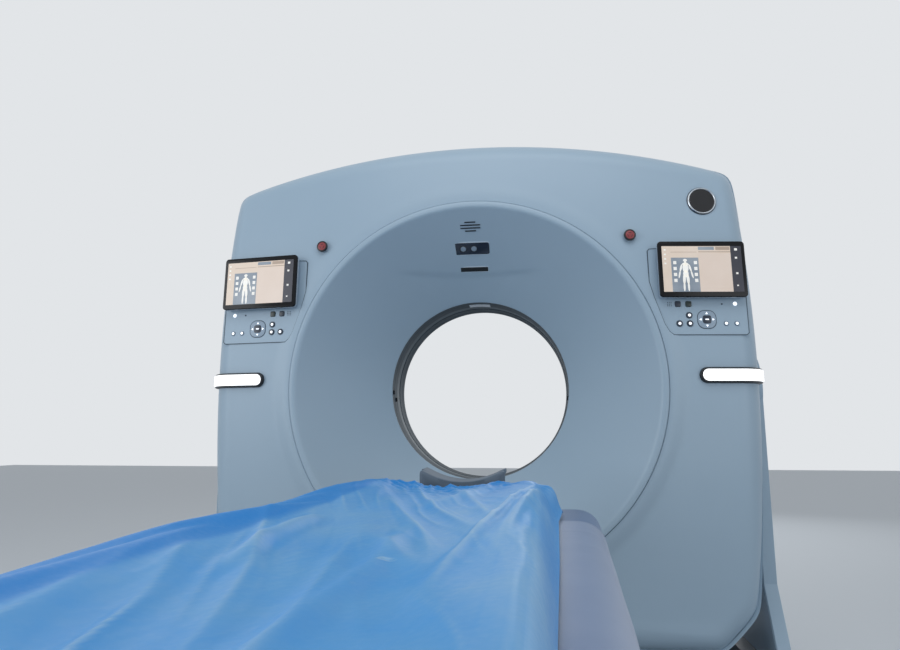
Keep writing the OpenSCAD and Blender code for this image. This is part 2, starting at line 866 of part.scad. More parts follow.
// Curved headrest with a deep heel, on a stepped tongue at the cradle's end
module headrest() {
    color([0.28, 0.35, 0.41]) {
        intersection() {
            difference() {
                union() {
                    translate([0, rest_near_y, rest_axis_h]) along_bore()
                        cylinder(r = rest_r + rest_t, h = rest_len, $fn = round_fn);
                    translate([-rest_half_w, rest_near_y, rest_low])
                        cube([2 * rest_half_w, rest_heel, rest_top - rest_low]);
                }
                translate([0, rest_near_y - 1, rest_axis_h]) along_bore()
                    cylinder(r = rest_r, h = rest_len + 2, $fn = round_fn);
            }
            translate([-rest_half_w, rest_near_y, rest_low])
                cube([2 * rest_half_w, rest_len, rest_top - rest_low]);
        }
        translate([-tongue_half_w, deck_head_y, tongue_low])
            cube([2 * tongue_half_w, rest_near_y + 5 - deck_head_y, 22]);
        translate([-tongue_half_w, rest_near_y - 50, tongue_low + 12])
            cube([2 * tongue_half_w, 130, 20]);
    }
}

// Loose sheet over the cradle and the deck, hanging down on the left
module drape() {
    rim_z = deck_h + 72;
    color([0.35, 0.62, 0.85]) translate([0, drape_head_y, 0]) rotate([90, 0, 0])
        linear_extrude(drape_head_y - drape_foot_y)
            polygon([[drape_right, deck_h + 1], [drape_right, deck_h + 1 + drape_t],
                [cradle_half_w + 4, rim_z + drape_t], [cradle_half_w - 14, rim_z + drape_t],
                [110, rim_z - 22 + drape_t], [0, rim_z - 30 + drape_t], [-110, rim_z - 22 + drape_t],
                [-cradle_half_w + 14, rim_z + drape_t], [-cradle_half_w - 4, rim_z + drape_t],
                [drape_edge, deck_h + 22], [drape_left - drape_t, deck_h + 10],
                [drape_left - drape_t, deck_h + drape_t], [drape_left, deck_h + drape_t],
                [drape_left, deck_h + 10 - drape_t], [drape_edge, deck_h + 22 - drape_t],
                [-cradle_half_w - 4, rim_z], [-cradle_half_w + 14, rim_z], [-110, rim_z - 22],
                [0, rim_z - 30], [110, rim_z - 22], [cradle_half_w - 14, rim_z],
                [cradle_half_w + 4, rim_z], [drape_right - 4, deck_h + 1]]);
}

floor_frame();
pedestals();
pedestal_covers();
floor_duct();
table_base();
table_base_cover();
tilt_frame();
front_cover();
rear_cover();
side_covers();
top_cover();
front_funnel();
rear_funnel();
bore_liner();
scan_window();
display_housings();
display_screens();
control_panels();
panel_lamps();
grip_housings();
grip_lights();
badge();
speaker_grille();
camera_panel();
bearing_outer();
brush_block();
rotor_disc();
bearing_inner();
xray_tube();
generator();
detector();
collimator();
slip_ring();
counterweight();
lift_stage();
table_frame();
table_cover();
cradle();
cradle_pad();
headrest();
drape();
for (i = [0:7], s = [0:1])
    mirror([s, 0, 0]) key(i);
for (s = [0:1])
    mirror([s, 0, 0]) stop_button();
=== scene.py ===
import bpy
import bmesh
import math
from mathutils import Matrix, Vector, noise


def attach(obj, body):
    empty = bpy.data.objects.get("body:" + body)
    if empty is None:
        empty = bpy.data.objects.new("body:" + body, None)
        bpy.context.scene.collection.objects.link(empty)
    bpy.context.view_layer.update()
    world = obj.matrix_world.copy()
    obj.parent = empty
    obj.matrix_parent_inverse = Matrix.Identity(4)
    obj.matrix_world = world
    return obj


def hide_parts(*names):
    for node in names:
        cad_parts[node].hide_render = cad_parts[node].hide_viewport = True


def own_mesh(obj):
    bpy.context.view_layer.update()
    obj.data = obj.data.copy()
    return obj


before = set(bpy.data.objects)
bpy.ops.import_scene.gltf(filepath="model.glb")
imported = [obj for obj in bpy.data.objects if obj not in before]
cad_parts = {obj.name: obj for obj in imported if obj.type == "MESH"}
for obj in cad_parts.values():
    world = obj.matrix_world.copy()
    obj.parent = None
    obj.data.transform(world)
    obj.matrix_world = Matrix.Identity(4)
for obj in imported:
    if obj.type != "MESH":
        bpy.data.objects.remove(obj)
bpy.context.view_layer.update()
scene = bpy.context.scene

# Camera
# Stands low over the foot of the table, a little right of its middle line, and looks up
# into the bore.
camera_data = bpy.data.cameras.new("camera")
camera_data.sensor_width = 36.0
camera_data.lens = 26.386
camera_data.clip_start = 0.01
camera = bpy.data.objects.new("camera", camera_data)
camera.location = (0.2264, -2.7321, 0.8464)
camera.rotation_euler = (math.radians(99.345), 0.0, math.radians(7.479))
scene.collection.objects.link(camera)
scene.camera = camera
scene.view_settings.view_transform = "Standard"


# Floor and light
# A pale seamless floor, a soft lamp under the ceiling, a broad fill from each side of the
# viewer, and one from behind. The room looks brighter than the light that it gives.
def paint(red, green, blue):
    """A colour as it looks on a screen, from 0 to 255, as Blender's linear value."""
    linear = [c / 3294.6 if c <= 10.3 else ((c / 255 + 0.055) / 1.055) ** 2.4
              for c in (red, green, blue)]
    return (*linear, 1.0)


def feed(node, inputs):
    """Sets a node's inputs, each to a plain value or from another node's output."""
    for name, value in inputs.items():
        if isinstance(value, bpy.types.NodeSocket):
            node.id_data.links.new(value, node.inputs[name])
        else:
            node.inputs[name].default_value = value


def wired(tree, kind, inputs, **settings):
    """A new node with its settings and its inputs."""
    node = tree.nodes.new(kind)
    for setting, value in settings.items():
        setattr(node, setting, value)
    feed(node, inputs)
    return node


def math_node(tree, operation, first, second):
    return wired(tree, "ShaderNodeMath", {0: first, 1: second}, operation=operation).outputs[0]


def as_object(name, mesh):
    """Object of its own for a mesh, which is let go."""
    data = bpy.data.meshes.new(name)
    mesh.to_mesh(data)
    mesh.free()
    made = bpy.data.objects.new(name, data)
    scene.collection.objects.link(made)
    return made


world = bpy.data.worlds.new("room")
scene.world = world
world.use_nodes = True
room = world.node_tree
seen_room = room.nodes["Background"]
feed(seen_room, {"Color": paint(226, 229, 232), "Strength": 1.0})
room_light = wired(room, "ShaderNodeBackground",
                   {"Color": (0.86, 0.93, 1.0, 1.0), "Strength": 0.42})
rays = room.nodes.new("ShaderNodeLightPath").outputs
room_seen = math_node(room, "MAXIMUM", rays["Is Camera Ray"], rays["Is Glossy Ray"])
room_seen = math_node(room, "MAXIMUM", room_seen, rays["Is Transmission Ray"])
room_mix = wired(room, "ShaderNodeMixShader",
                 {0: room_seen, 1: room_light.outputs[0], 2: seen_room.outputs[0]})
feed(room.nodes["World Output"], {"Surface": room_mix.outputs[0]})

floor_mesh = bmesh.new()
bmesh.ops.create_grid(floor_mesh, x_segments=1, y_segments=1, size=14.0)
floor = as_object("floor", floor_mesh)
floor_finish = bpy.data.materials.new("floor_vinyl")
floor_finish.use_nodes = True
feed(floor_finish.node_tree.nodes["Principled BSDF"],
     {"Base Color": paint(214, 218, 222), "Roughness": 0.6})
floor.data.materials.append(floor_finish)


def soft_lamp(name, place, target, size, power, colour):
    lamp_data = bpy.data.lights.new(name, "AREA")
    lamp_data.shape = "RECTANGLE"
    lamp_data.size, lamp_data.size_y = size
    lamp_data.energy = power
    lamp_data.color = colour
    lamp = bpy.data.objects.new(name, lamp_data)
    lamp.location = place
    way = Vector(target) - Vector(place)
    lamp.rotation_euler = way.to_track_quat("-Z", "Y").to_euler()
    scene.collection.objects.link(lamp)


soft_lamp("ceiling_lamp", (0.2, -2.2, 3.6), (0.0, -0.3, 0.9), (2.6, 2.0), 31, (0.97, 0.985, 1.0))
soft_lamp("window_fill", (-4.2, -3.6, 1.9), (0.0, -0.4, 1.0), (2.6, 2.6), 61, (0.94, 0.97, 1.0))
soft_lamp("room_fill", (4.4, -4.4, 1.6), (0.0, -0.4, 1.0), (2.6, 2.6), 32, (0.94, 0.97, 1.0))
soft_lamp("back_fill", (1.5, 4.6, 2.6), (0.0, 0.4, 1.0), (3.0, 2.4), 34, (0.95, 0.98, 1.0))


# Base
# Steel floor frames under the gantry and the table, pedestals and skirts in the covers'
# white over them, and a sheet-steel floor channel between the two.
def shader_group(name, inputs, outputs):
    """An empty node group with its named inputs and outputs, and its two end nodes."""
    tree = bpy.data.node_groups.new(name, "ShaderNodeTree")
    for label, kind, value in inputs:
        socket = tree.interface.new_socket(name=label, in_out="INPUT", socket_type=kind)
        socket.default_value = value
    for label, kind in outputs:
        tree.interface.new_socket(name=label, in_out="OUTPUT", socket_type=kind)
    return tree, tree.nodes.new("NodeGroupInput"), tree.nodes.new("NodeGroupOutput")


def mottle(name, stretched):
    """Cloudy change of colour and roughness with a fine grain, stretched for drawn metal."""
    tree, inside, outside = shader_group(
        name,
        [("Colour", "NodeSocketColor", (0.5, 0.5, 0.5, 1)),
         ("Shade", "NodeSocketColor", (0.4, 0.4, 0.4, 1)),
         ("Patch", "NodeSocketFloat", 3.0), ("Grain", "NodeSocketFloat", 400.0),
         ("Roughness", "NodeSocketFloat", 0.5), ("Spread", "NodeSocketFloat", 0.1)],
        [("Colour", "NodeSocketColor"), ("Roughness", "NodeSocketFloat"),
         ("Height", "NodeSocketFloat")])
    knobs = inside.outputs
    place = tree.nodes.new("ShaderNodeTexCoord").outputs["Object"]
    if stretched:
        place = wired(tree, "ShaderNodeMapping",
                      {"Vector": place, "Scale": (1.0, 0.03, 1.0)}).outputs["Vector"]
    clouds = wired(tree, "ShaderNodeTexNoise",
                   {"Vector": place, "Scale": knobs["Patch"], "Detail": 4.0})
    spread = wired(tree, "ShaderNodeMapRange",
                   {"Value": clouds.outputs["Fac"], "From Min": 0.3, "From Max": 0.7})
    blend = wired(tree, "ShaderNodeMix",
                  {"Factor": spread.outputs["Result"], "A": knobs["Colour"], "B": knobs["Shade"]},
                  data_type="RGBA")
    grain = wired(tree, "ShaderNodeTexNoise",
                  {"Vector": place, "Scale": knobs["Grain"], "Detail": 2.0})
    swing = math_node(tree, "SUBTRACT", grain.outputs["Fac"], 0.5)
    swing = math_node(tree, "MULTIPLY", swing, knobs["Spread"])
    feed(outside, {"Colour": blend.outputs["Result"], "Height": grain.outputs["Fac"],
                   "Roughness": math_node(tree, "ADD", swing, knobs["Roughness"])})
    return tree


moulded = mottle("moulded_surface", False)
drawn = mottle("drawn_metal", True)


def finish(name, pattern, colour, shade, roughness, patch=3.0, grain=500.0, spread=0.1,
           bump=0.05, depth=0.0003, lit=0.0, **shader_values):
    """A material with colour, roughness and relief from one of the patterns."""
    material = bpy.data.materials.new(name)
    material.use_nodes = True
    tree = material.node_tree
    shader = tree.nodes["Principled BSDF"]
    source = wired(tree, "ShaderNodeGroup",
                   {"Colour": paint(*colour), "Shade": paint(*shade), "Patch": patch,
                    "Grain": grain, "Roughness": roughness, "Spread": spread},
                   node_tree=pattern).outputs
    relief = wired(tree, "ShaderNodeBump",
                   {"Height": source["Height"], "Strength": bump, "Distance": depth})
    feed(shader, {"Normal": relief.outputs["Normal"], "Base Color": source["Colour"],
                  "Roughness": source["Roughness"]})
    if lit:
        feed(shader, {"Emission Color": source["Colour"], "Emission Strength": lit})
    feed(shader, {socket.replace("_", " "): value for socket, value in shader_values.items()})
    return material


def dress(material, *nodes):
    """Gives the CAD's own pieces a material."""
    for node in nodes:
        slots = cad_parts[node].data.materials
        for index in range(len(slots)):
            slots[index] = material


cover_white = finish("cover_white", moulded, (160, 181, 197), (155, 177, 194), 0.42, patch=1.6,
                     grain=700.0, spread=0.06, bump=0.03, Coat_Weight=0.12, Coat_Roughness=0.35)
base_steel = finish("base_steel", moulded, (96, 102, 110), (86, 92, 100), 0.5, patch=5.0,
                    grain=900.0, spread=0.15, bump=0.12)
channel_steel = finish("channel_steel", drawn, (128, 134, 140), (110, 116, 122), 0.42, patch=30.0,
                       grain=300.0, spread=0.25, Metallic=0.9)
dress(base_steel, "floor_frame", "table_base")
dress(cover_white, "pedestals", "pedestal_covers", "table_base_cover", "lift_stage")
dress(channel_steel, "floor_duct")

# Tilt frame and scan ring
# Welded steel frame, bearing rings, and the spinning disc with tube, tanks, detector,
# collimator, weights and slip ring. The covers hide all of it.
frame_steel = finish("frame_steel", moulded, (112, 124, 138), (98, 110, 124), 0.5, patch=4.0,
                     spread=0.15, bump=0.1)
bearing_steel = finish("bearing_steel", drawn, (196, 199, 202), (176, 180, 184), 0.25, patch=40.0,
                       grain=500.0, spread=0.2, Metallic=1.0)
cast_alloy = finish("cast_alloy", moulded, (168, 171, 174), (150, 154, 158), 0.5, patch=8.0,
                    grain=350.0, spread=0.2, bump=0.25, Metallic=0.8)
tube_enamel = finish("tube_enamel", moulded, (206, 206, 198), (194, 194, 186), 0.4, patch=6.0)
tank_enamel = finish("tank_enamel", moulded, (92, 124, 152), (82, 112, 140), 0.42, patch=6.0)
detector_coat = finish("detector_coat", moulded, (52, 64, 70), (44, 55, 61), 0.55, patch=6.0,
                       bump=0.15)
brass = finish("brass", drawn, (190, 156, 92), (168, 134, 76), 0.3, patch=40.0, spread=0.2,
               Metallic=1.0)
copper = finish("copper", drawn, (196, 128, 92), (172, 108, 76), 0.3, patch=40.0, spread=0.2,
                Metallic=1.0)
brush_resin = finish("brush_resin", moulded, (108, 72, 48), (92, 60, 40), 0.6, patch=20.0,
                     bump=0.2)
dress(frame_steel, "tilt_frame")
dress(bearing_steel, "bearing_outer", "bearing_inner")
dress(cast_alloy, "rotor_disc")
dress(tube_enamel, "xray_tube")
dress(tank_enamel, "generator")
dress(detector_coat, "detector")
dress(brass, "collimator")
dress(copper, "slip_ring")
dress(base_steel, "counterweight")
dress(brush_resin, "brush_block")

# Front and rear covers
# Large vacuum-formed panels with a bowed face and softly rolled rims, which swell a little
# at the funnel's lip. The front one has openings for panels, stop buttons and badge.
ISO = 1.020
BALL_R = 6.5
BALL_Y = BALL_R - 0.432
BALL_Z = ISO + 0.100
ROLL = 0.090
SPLIT = 0.262
LIP_R = 0.6765
LIP_Y = -0.4045
AROUND = 480
RIM_Y = -0.36
GANTRY_ARCS = ((0, -2.358, 3.28), (-5.9, 0.02, 6.9), (5.9, 0.02, 6.9), (0, 0, 1.225))
BELLY_R = 0.94
LIP_SWELL = 0.068
COVER_WALL = 0.011
SEAM_GAP, SEAM_DEEP, SEAM_EASE = 0.0009, 0.0035, 0.001


def clamp(value):
    """The value, held between 0 and 1."""
    return min(1.0, max(0.0, value))


def smooth(share):
    """The share, held between 0 and 1 and eased at both ends."""
    share = clamp(share)
    return share * share * (3 - 2 * share)


def cover_depth(x, z):
    """How far forward the bowed face lies at a place on it."""
    return BALL_Y - math.sqrt(BALL_R ** 2 - x * x - (z - BALL_Z) ** 2)


def outline_reach(angle, y):
    """Distance from the scan centre to the gantry's outline, with soft corners."""
    across, up = math.cos(angle), math.sin(angle)
    reaches = []
    for x, z, radius in GANTRY_ARCS:
        along = across * x + up * z
        reaches.append(along + math.sqrt(along ** 2 - x * x - z * z + radius ** 2))
    if up < 0:
        reaches.append(math.sqrt(BELLY_R ** 2 - y * y) / -up)
    return sum(reach ** -120 for reach in reaches) ** (-1 / 120)


def new_piece(name, mesh, materials, sharp=35.0):
    """Object with a smooth-shaded mesh whose edges over the sharp angle stay crisp."""
    made = as_object(name, mesh)
    for material in materials:
        made.data.materials.append(material)
    made.data.shade_smooth()
    made.data.set_sharp_from_angle(angle=math.radians(sharp))
    return made


def corners_of(geometry):
    return [part for part in geometry if isinstance(part, bmesh.types.BMVert)]


def grow_shell(rows):
    """Rings round the bore's axis, each pulled out of the last one and set by its row."""
    shell = bmesh.new()
    bmesh.ops.create_circle(shell, segments=AROUND, radius=LIP_R,
                            matrix=Matrix.Translation((0, 0, ISO))
                            @ Matrix.Rotation(math.pi / 2, 4, "X"))
    ring, edges = list(shell.verts), list(shell.edges)
    for index, row in enumerate(rows):
        if index:
            pulled = bmesh.ops.extrude_edge_only(shell, edges=edges)["geom"]
            ring = corners_of(pulled)
            edges = [g for g in pulled if isinstance(g, bmesh.types.BMEdge)]
        for vert in ring:
            angle = math.atan2(vert.co.z - ISO, vert.co.x)
            radius, y = row(angle)
            vert.co = (radius * math.cos(angle), y, ISO + radius * math.sin(angle))
    shell.normal_update()
    return shell


def face_outwards(shell):
    """Turns the whole shell over if its first face looks towards the scan centre's plane."""
    shell.faces.ensure_lookup_table()
    first = shell.faces[0]
    if first.normal.dot(first.calc_center_median() - Vector((0, 0, ISO))) < 0:
        bmesh.ops.reverse_faces(shell, faces=shell.faces)


def face_row(share):
    """A ring on the bowed face, from the lip at 0 to the start of the rolled rim at 1."""
    def row(angle):
        far = outline_reach(angle, RIM_Y) - ROLL
        near = LIP_R + 0.100
        if share < 0.5:
            radius = LIP_R + 0.100 * share * 2
        else:
            radius = near + (far - near) * (share * 2 - 1)
        plain = cover_depth(radius * math.cos(angle), ISO + radius * math.sin(angle))
        swell = smooth(1 - (radius - LIP_R) / LIP_SWELL)
        return radius, plain + (LIP_Y - plain) * swell
    return row


def roll_row(turn):
    """A ring on the rolled rim, turned from the face at 0 to the side at 90 degrees."""
    def row(angle):
        radius, y = face_row(1.0)(angle)
        y += ROLL * (1 - math.cos(turn))
        return outline_reach(angle, y) - ROLL * (1 - math.sin(turn)), y
    return row


def side_row(y, inset):
    """A ring on the side wall at one depth, drawn in by the inset at a seam."""
    def row(angle):
        return outline_reach(angle, y) - inset, y
    return row


def cover_shell():
    """The front cover's face, rolled rim and short side wall."""
    rows = [face_row(share / 16) for share in range(17)]
    rows += [roll_row(math.radians(step * 10)) for step in range(1, 10)]
    rows += [side_row(-SPLIT - 0.004, 0.0), side_row(-SPLIT - 0.0012, SEAM_EASE),
             side_row(-SPLIT, SEAM_DEEP)]
    return grow_shell(rows)


def harden(made, thickness, cutter=None):
    """Gives a shell its wall, cuts the openings, and keeps the result as plain mesh."""
    if thickness:
        wall = made.modifiers.new("wall", "SOLIDIFY")
        wall.thickness = thickness
        wall.offset = -1.0
    if cutter:
        cut = made.modifiers.new("openings", "BOOLEAN")
        cut.operation = "DIFFERENCE"
        cut.solver = "EXACT"
        cut.object = cutter
    ready = made.evaluated_get(bpy.context.evaluated_depsgraph_get())
    data = bpy.data.meshes.new_from_object(ready)
    made.modifiers.clear()
    made.data = data
    data.shade_smooth()
    data.set_sharp_from_angle(angle=math.radians(35))
    if cutter:
        bpy.data.objects.remove(cutter)


PANEL_X, PANEL_Y, PANEL_Z = 0.806, -0.409, ISO + 0.391
PANEL_TURN, PANEL_LEAN = 7, 88.06


def panel_frame(side):
    """Frame on a display's front: 1 for the right one, -1 for the left one, unmirrored."""
    return (Matrix.Translation((side * PANEL_X, PANEL_Y, PANEL_Z))
            @ Matrix.Rotation(math.radians(side * PANEL_TURN), 4, "Z")
            @ Matrix.Rotation(math.radians(PANEL_LEAN), 4, "X"))


PANEL_PLACE = panel_frame(1)
PANEL_OUTLINE = ((-140, 86), (-172, 84), (-179, 76), (-179, -36), (-165, -92), (-133, -190),
                 (-118, -216), (-103, -228), (150, -228), (158, -220), (158, 86))


def on_cover(x, z, lift):
    """Frame square to the bowed face: x along it, y up it, z out of it."""
    lean = math.asin((z - BALL_Z) / BALL_R)
    turn = math.asin(x / (BALL_R * math.cos(lean)))
    return (Matrix.Translation((x, cover_depth(x, z), z)) @ Matrix.Rotation(turn, 4, "Z")
            @ Matrix.Rotation(math.pi / 2 - lean, 4, "X") @ Matrix.Translation((0, 0, lift)))


def outline_block(outline, low, high, grow=0.0):
    """Prism over an outline given in millimetres, grown outwards by a margin in metres."""
    block = bmesh.new()
    corners = [block.verts.new((x / 1000, y / 1000, low)) for x, y in outline]
    face = block.faces.new(corners)
    if grow:
        rim = bmesh.ops.inset_region(block, faces=[face], thickness=-grow, use_even_offset=True,
                                     use_boundary=True)
        bmesh.ops.delete(block, geom=rim["faces"], context="FACES")
        face = next(iter(block.faces))
    raised = bmesh.ops.extrude_face_region(block, geom=list(block.faces))["geom"]
    bmesh.ops.translate(block, verts=corners_of(raised), vec=(0, 0, high - low))
    bmesh.ops.recalc_face_normals(block, faces=block.faces)
    return block


def join(target, part, place=None, material=None, left=False):
    """Adds a part to a mesh at its place, mirrored to the left side if asked."""
    if place is not None:
        bmesh.ops.transform(part, matrix=place, verts=part.verts)
    if left:
        bmesh.ops.scale(part, vec=(-1, 1, 1), verts=part.verts)
        bmesh.ops.reverse_faces(part, faces=part.faces)
    if material is not None:
        for face in part.faces:
            face.material_index = material
    carrier = bpy.data.meshes.new("carrier")
    part.to_mesh(carrier)
    part.free()
    target.from_mesh(carrier)
    bpy.data.meshes.remove(carrier)


STOP_X, STOP_Z = 0.565, ISO + 0.523
STOP_HOLE_R = 0.0162
BADGE_X, BADGE_Z = 0.830, ISO + 0.655
openings = bmesh.new()
for left in (False, True):
    join(openings, outline_block(PANEL_OUTLINE, -0.100, 0.010, 0.0009), PANEL_PLACE, left=left)
    hole = bmesh.new()
    bmesh.ops.create_cone(hole, cap_ends=True, segments=48, radius1=STOP_HOLE_R,
                          radius2=STOP_HOLE_R, depth=0.08)
    join(openings, hole, on_cover(STOP_X, STOP_Z, 0), left=left)
dish = bmesh.new()
bmesh.ops.create_uvsphere(dish, u_segments=96, v_segments=600, radius=0.452)
bmesh.ops.delete(dish, geom=[v for v in dish.verts if v.co.z > -0.430], context="VERTS")
bmesh.ops.holes_fill(dish, edges=dish.edges, sides=200)
join(openings, dish, on_cover(BADGE_X, BADGE_Z, 0.4480))

front_shell_mesh = cover_shell()
face_outwards(front_shell_mesh)
front_shell = new_piece("front_panel", front_shell_mesh, [cover_white])
harden(front_shell, COVER_WALL, as_object("openings", openings))
rear_shell_mesh = cover_shell()
bmesh.ops.scale(rear_shell_mesh, vec=(1, -1, 1), verts=rear_shell_mesh.verts)
rear_shell_mesh.normal_update()
face_outwards(rear_shell_mesh)
rear_shell = new_piece("rear_panel", rear_shell_mesh, [cover_white])
harden(rear_shell, COVER_WALL)
for made, node in ((front_shell, "front_cover"), (rear_shell, "rear_cover")):
    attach(made, "gantry")
    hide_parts(node)

# Top and side covers
# One wrap of moulded panels between the front and the rear, parted at the shoulders, with
# drawn-in edges that make the fine seams.
TOP_SPLIT = ISO + 0.700


def wrap_shell():
    """A ring of side wall from the front cover's seam to the rear cover's."""
    stations = [-0.256, -0.2, -0.13, -0.065, 0.0, 0.065, 0.13, 0.2, 0.256]
    rows = [side_row(-SPLIT + SEAM_GAP, SEAM_DEEP), side_row(-SPLIT + 0.002, SEAM_EASE)]
    rows += [side_row(y, 0.0) for y in stations]
    rows += [side_row(SPLIT - 0.002, SEAM_EASE), side_row(SPLIT - SEAM_GAP, SEAM_DEEP)]
    return grow_shell(rows)


for name, node, keep_top in (("top_panel", "top_cover", True),
                             ("side_panels", "side_covers", False)):
    wrap = wrap_shell()
    face_outwards(wrap)
    height = TOP_SPLIT if keep_top else TOP_SPLIT - SEAM_GAP
    bmesh.ops.bisect_plane(wrap, geom=wrap.verts[:] + wrap.edges[:] + wrap.faces[:], dist=1e-6,
                           plane_co=(0, 0, height), plane_no=(0, 0, 1), clear_inner=keep_top,
                           clear_outer=not keep_top)
    made = new_piece(name, wrap, [cover_white])
    harden(made, COVER_WALL)
    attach(made, "gantry")
    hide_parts(node)

# Funnels
# One-piece moulded trumpets from a flat rolled lip down to the bore. The front one is
# pressed in below its fittings, which leaves a soft crease across its upper part.
FUNNEL_MOUTH, FUNNEL_BEND, FUNNEL_NECK = (0.650, -0.409), (0.466, -0.231), (0.3535, -0.1235)
PRESS_X, PRESS_Z, PRESS_DEPTH = -0.027, 0.440, 0.0045 * 0.7


def spun(points, centre, axis, steps):
    """Closed loop of points, spun once round an axis."""
    mesh = bmesh.new()
    corners = [mesh.verts.new(point) for point in points]
    edges = [mesh.edges.new((corners[i], corners[i - 1])) for i in range(len(corners))]
    bmesh.ops.spin(mesh, geom=corners + edges, cent=centre, axis=axis, dvec=(0, 0, 0),
                   angle=2 * math.pi, steps=steps, use_merge=True)
    bmesh.ops.remove_doubles(mesh, verts=mesh.verts, dist=1e-6)
    bmesh.ops.recalc_face_normals(mesh, faces=mesh.faces)
    return mesh


def turned(profile, steps=256):
    """Closed profile of radius and depth, spun about the bore's axis."""
    return spun([(radius, y, ISO) for radius, y in profile], (0, 0, ISO), (0, 1, 0), steps)


def along(start, end, count):
    """Points from the start up to, but not at, the end."""
    return [(start[0] + (end[0] - start[0]) * i / count, start[1] + (end[1] - start[1]) * i / count)
            for i in range(count)]


def funnel_mesh(slope_points):
    """Lip, outer and inner slope, neck and back of a funnel that opens to the front."""
    lip = [(0.6755, -0.372), (0.6758, -0.400), (0.6745, -0.4072), (0.6720, -0.4106),
           (0.6680, -0.4120), (0.6580, -0.4120), (0.6545, -0.4114), (0.6520, -0.4100)]
    slope = along(FUNNEL_MOUTH, FUNNEL_BEND, slope_points)
    slope += along(FUNNEL_BEND, FUNNEL_NECK, slope_points // 2)
    neck = [FUNNEL_NECK, (0.3512, -0.1214), (0.3500, -0.1190), (0.3500, -0.1185)]
    back = [(0.3575, -0.1190), (0.4700, -0.2240), (0.6600, -0.3680)]
    return turned(lip + slope + neck + back, 288)


front_funnel = funnel_mesh(36)
for vert in front_funnel.verts:
    x, y, z = vert.co.x, vert.co.y, vert.co.z - ISO
    radius = math.hypot(x, z)
    on_slope = abs(y - FUNNEL_BEND[1] + (radius - FUNNEL_BEND[0]) * 0.96) < 0.006
    if on_slope and z > 0 and radius > 0.360:
        below = PRESS_Z - z
        side = max(0.0, 1 - abs(x - PRESS_X) / 0.30)
        press = math.exp(-max(below, 0.0) / 0.05) / (1 + math.exp(-below / 0.004))
        press *= min(1.0, side * 3) * min(1.0, (radius - 0.360) / 0.03)
        vert.co.y += PRESS_DEPTH * press
        outward = PRESS_DEPTH * press / radius
        vert.co.x += x * outward
        vert.co.z += z * outward
for name, node, mesh in (("front_trumpet", "front_funnel", front_funnel),
                         ("rear_trumpet", "rear_funnel", funnel_mesh(12))):
    if node == "rear_funnel":
        bmesh.ops.scale(mesh, vec=(1, -1, 1), verts=mesh.verts)
        bmesh.ops.reverse_faces(mesh, faces=mesh.faces)
    made = new_piece(name, mesh, [cover_white])
    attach(made, "gantry")
    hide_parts(node)

# Bore rings
# Grey moulded liner rings with dark grooves, small catches at both sides that hold the
# clear scan band, and one brighter marker segment at the top.
# The liner rings and the clear band are painted a darker grey than their own, as painted shade
# inside the bore.
liner_grey = finish("liner_grey", moulded, (72, 84, 92), (64, 75, 83), 0.6, patch=6.0,
                    Specular_IOR_Level=0.12)
groove_dark = finish("groove_dark", moulded, (30, 37, 43), (24, 30, 36), 0.6, patch=20.0,
                     Specular_IOR_Level=0.1)
band_clear = finish("band_clear", moulded, (86, 99, 108), (78, 90, 99), 0.5, patch=10.0,
                    spread=0.05, Specular_IOR_Level=0.15)
marker_bright = finish("marker_bright", moulded, (170, 184, 196), (160, 174, 188), 0.25,
                       patch=30.0)


def box(width, height, thickness, middle=(0, 0, 0)):
    """Plain block about its middle."""
    block = bmesh.new()
    bmesh.ops.create_cube(block, size=1.0, matrix=Matrix.Translation(middle)
                          @ Matrix.Diagonal((width, height, thickness, 1.0)))
    return block


def ease_edges(mesh, edges, size, steps):
    """Rounds edges off."""
    bmesh.ops.bevel(mesh, geom=edges, offset=size, affect="EDGES", segments=steps, profile=0.5,
                    material=-1)


def ring_profile(inner, outer, low, high, ease=0.0006):
    return [(inner + ease, low), (outer - ease, low), (outer, low + ease), (outer, high - ease),
            (outer - ease, high), (inner + ease, high), (inner, high - ease), (inner, low + ease)]


liner = bmesh.new()
for low, high in ((-0.1182, -0.0840), (-0.0815, -0.0275), (0.0275, 0.0815), (0.0840, 0.1182)):
    join(liner, turned(ring_profile(0.3500, 0.3560, low, high)), material=0)
for low, high in ((-0.0840, -0.0815), (-0.0275, -0.0250), (0.0250, 0.0275), (0.0815, 0.0840),
                  (-0.1196, -0.1182), (0.1182, 0.1196)):
    join(liner, turned(ring_profile(0.3512, 0.3562, low, high, 0.0002)), material=1)
for angle, depth in ((181.5, -0.100), (186.0, -0.060), (-6.0, -0.100)):
    catch = box(0.009, 0.014, 0.016)
    ease_edges(catch, catch.edges, 0.002, 2)
    turn = Matrix.Rotation(-math.radians(angle), 4, "Y")
    join(liner, catch, Matrix.Translation((0, 0, ISO)) @ turn
         @ Matrix.Translation((0.3485, depth, 0)), material=1)
MARKER_HALF_ANGLE = 0.12
marker = turned(ring_profile(0.3494, 0.3510, -0.0800, -0.0300, 0.0004), 256)
middles = [(face, face.calc_center_median()) for face in marker.faces]
bmesh.ops.delete(marker, context="FACES",
                 geom=[face for face, spot in middles
                       if abs(math.atan2(spot.x, spot.z - ISO)) > MARKER_HALF_ANGLE])
bmesh.ops.holes_fill(marker, edges=marker.edges, sides=12)
join(liner, marker, material=2)
bore_rings = new_piece("bore_rings", liner, [liner_grey, groove_dark, marker_bright])
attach(bore_rings, "gantry")
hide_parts("bore_liner")
dress(band_clear, "scan_window")

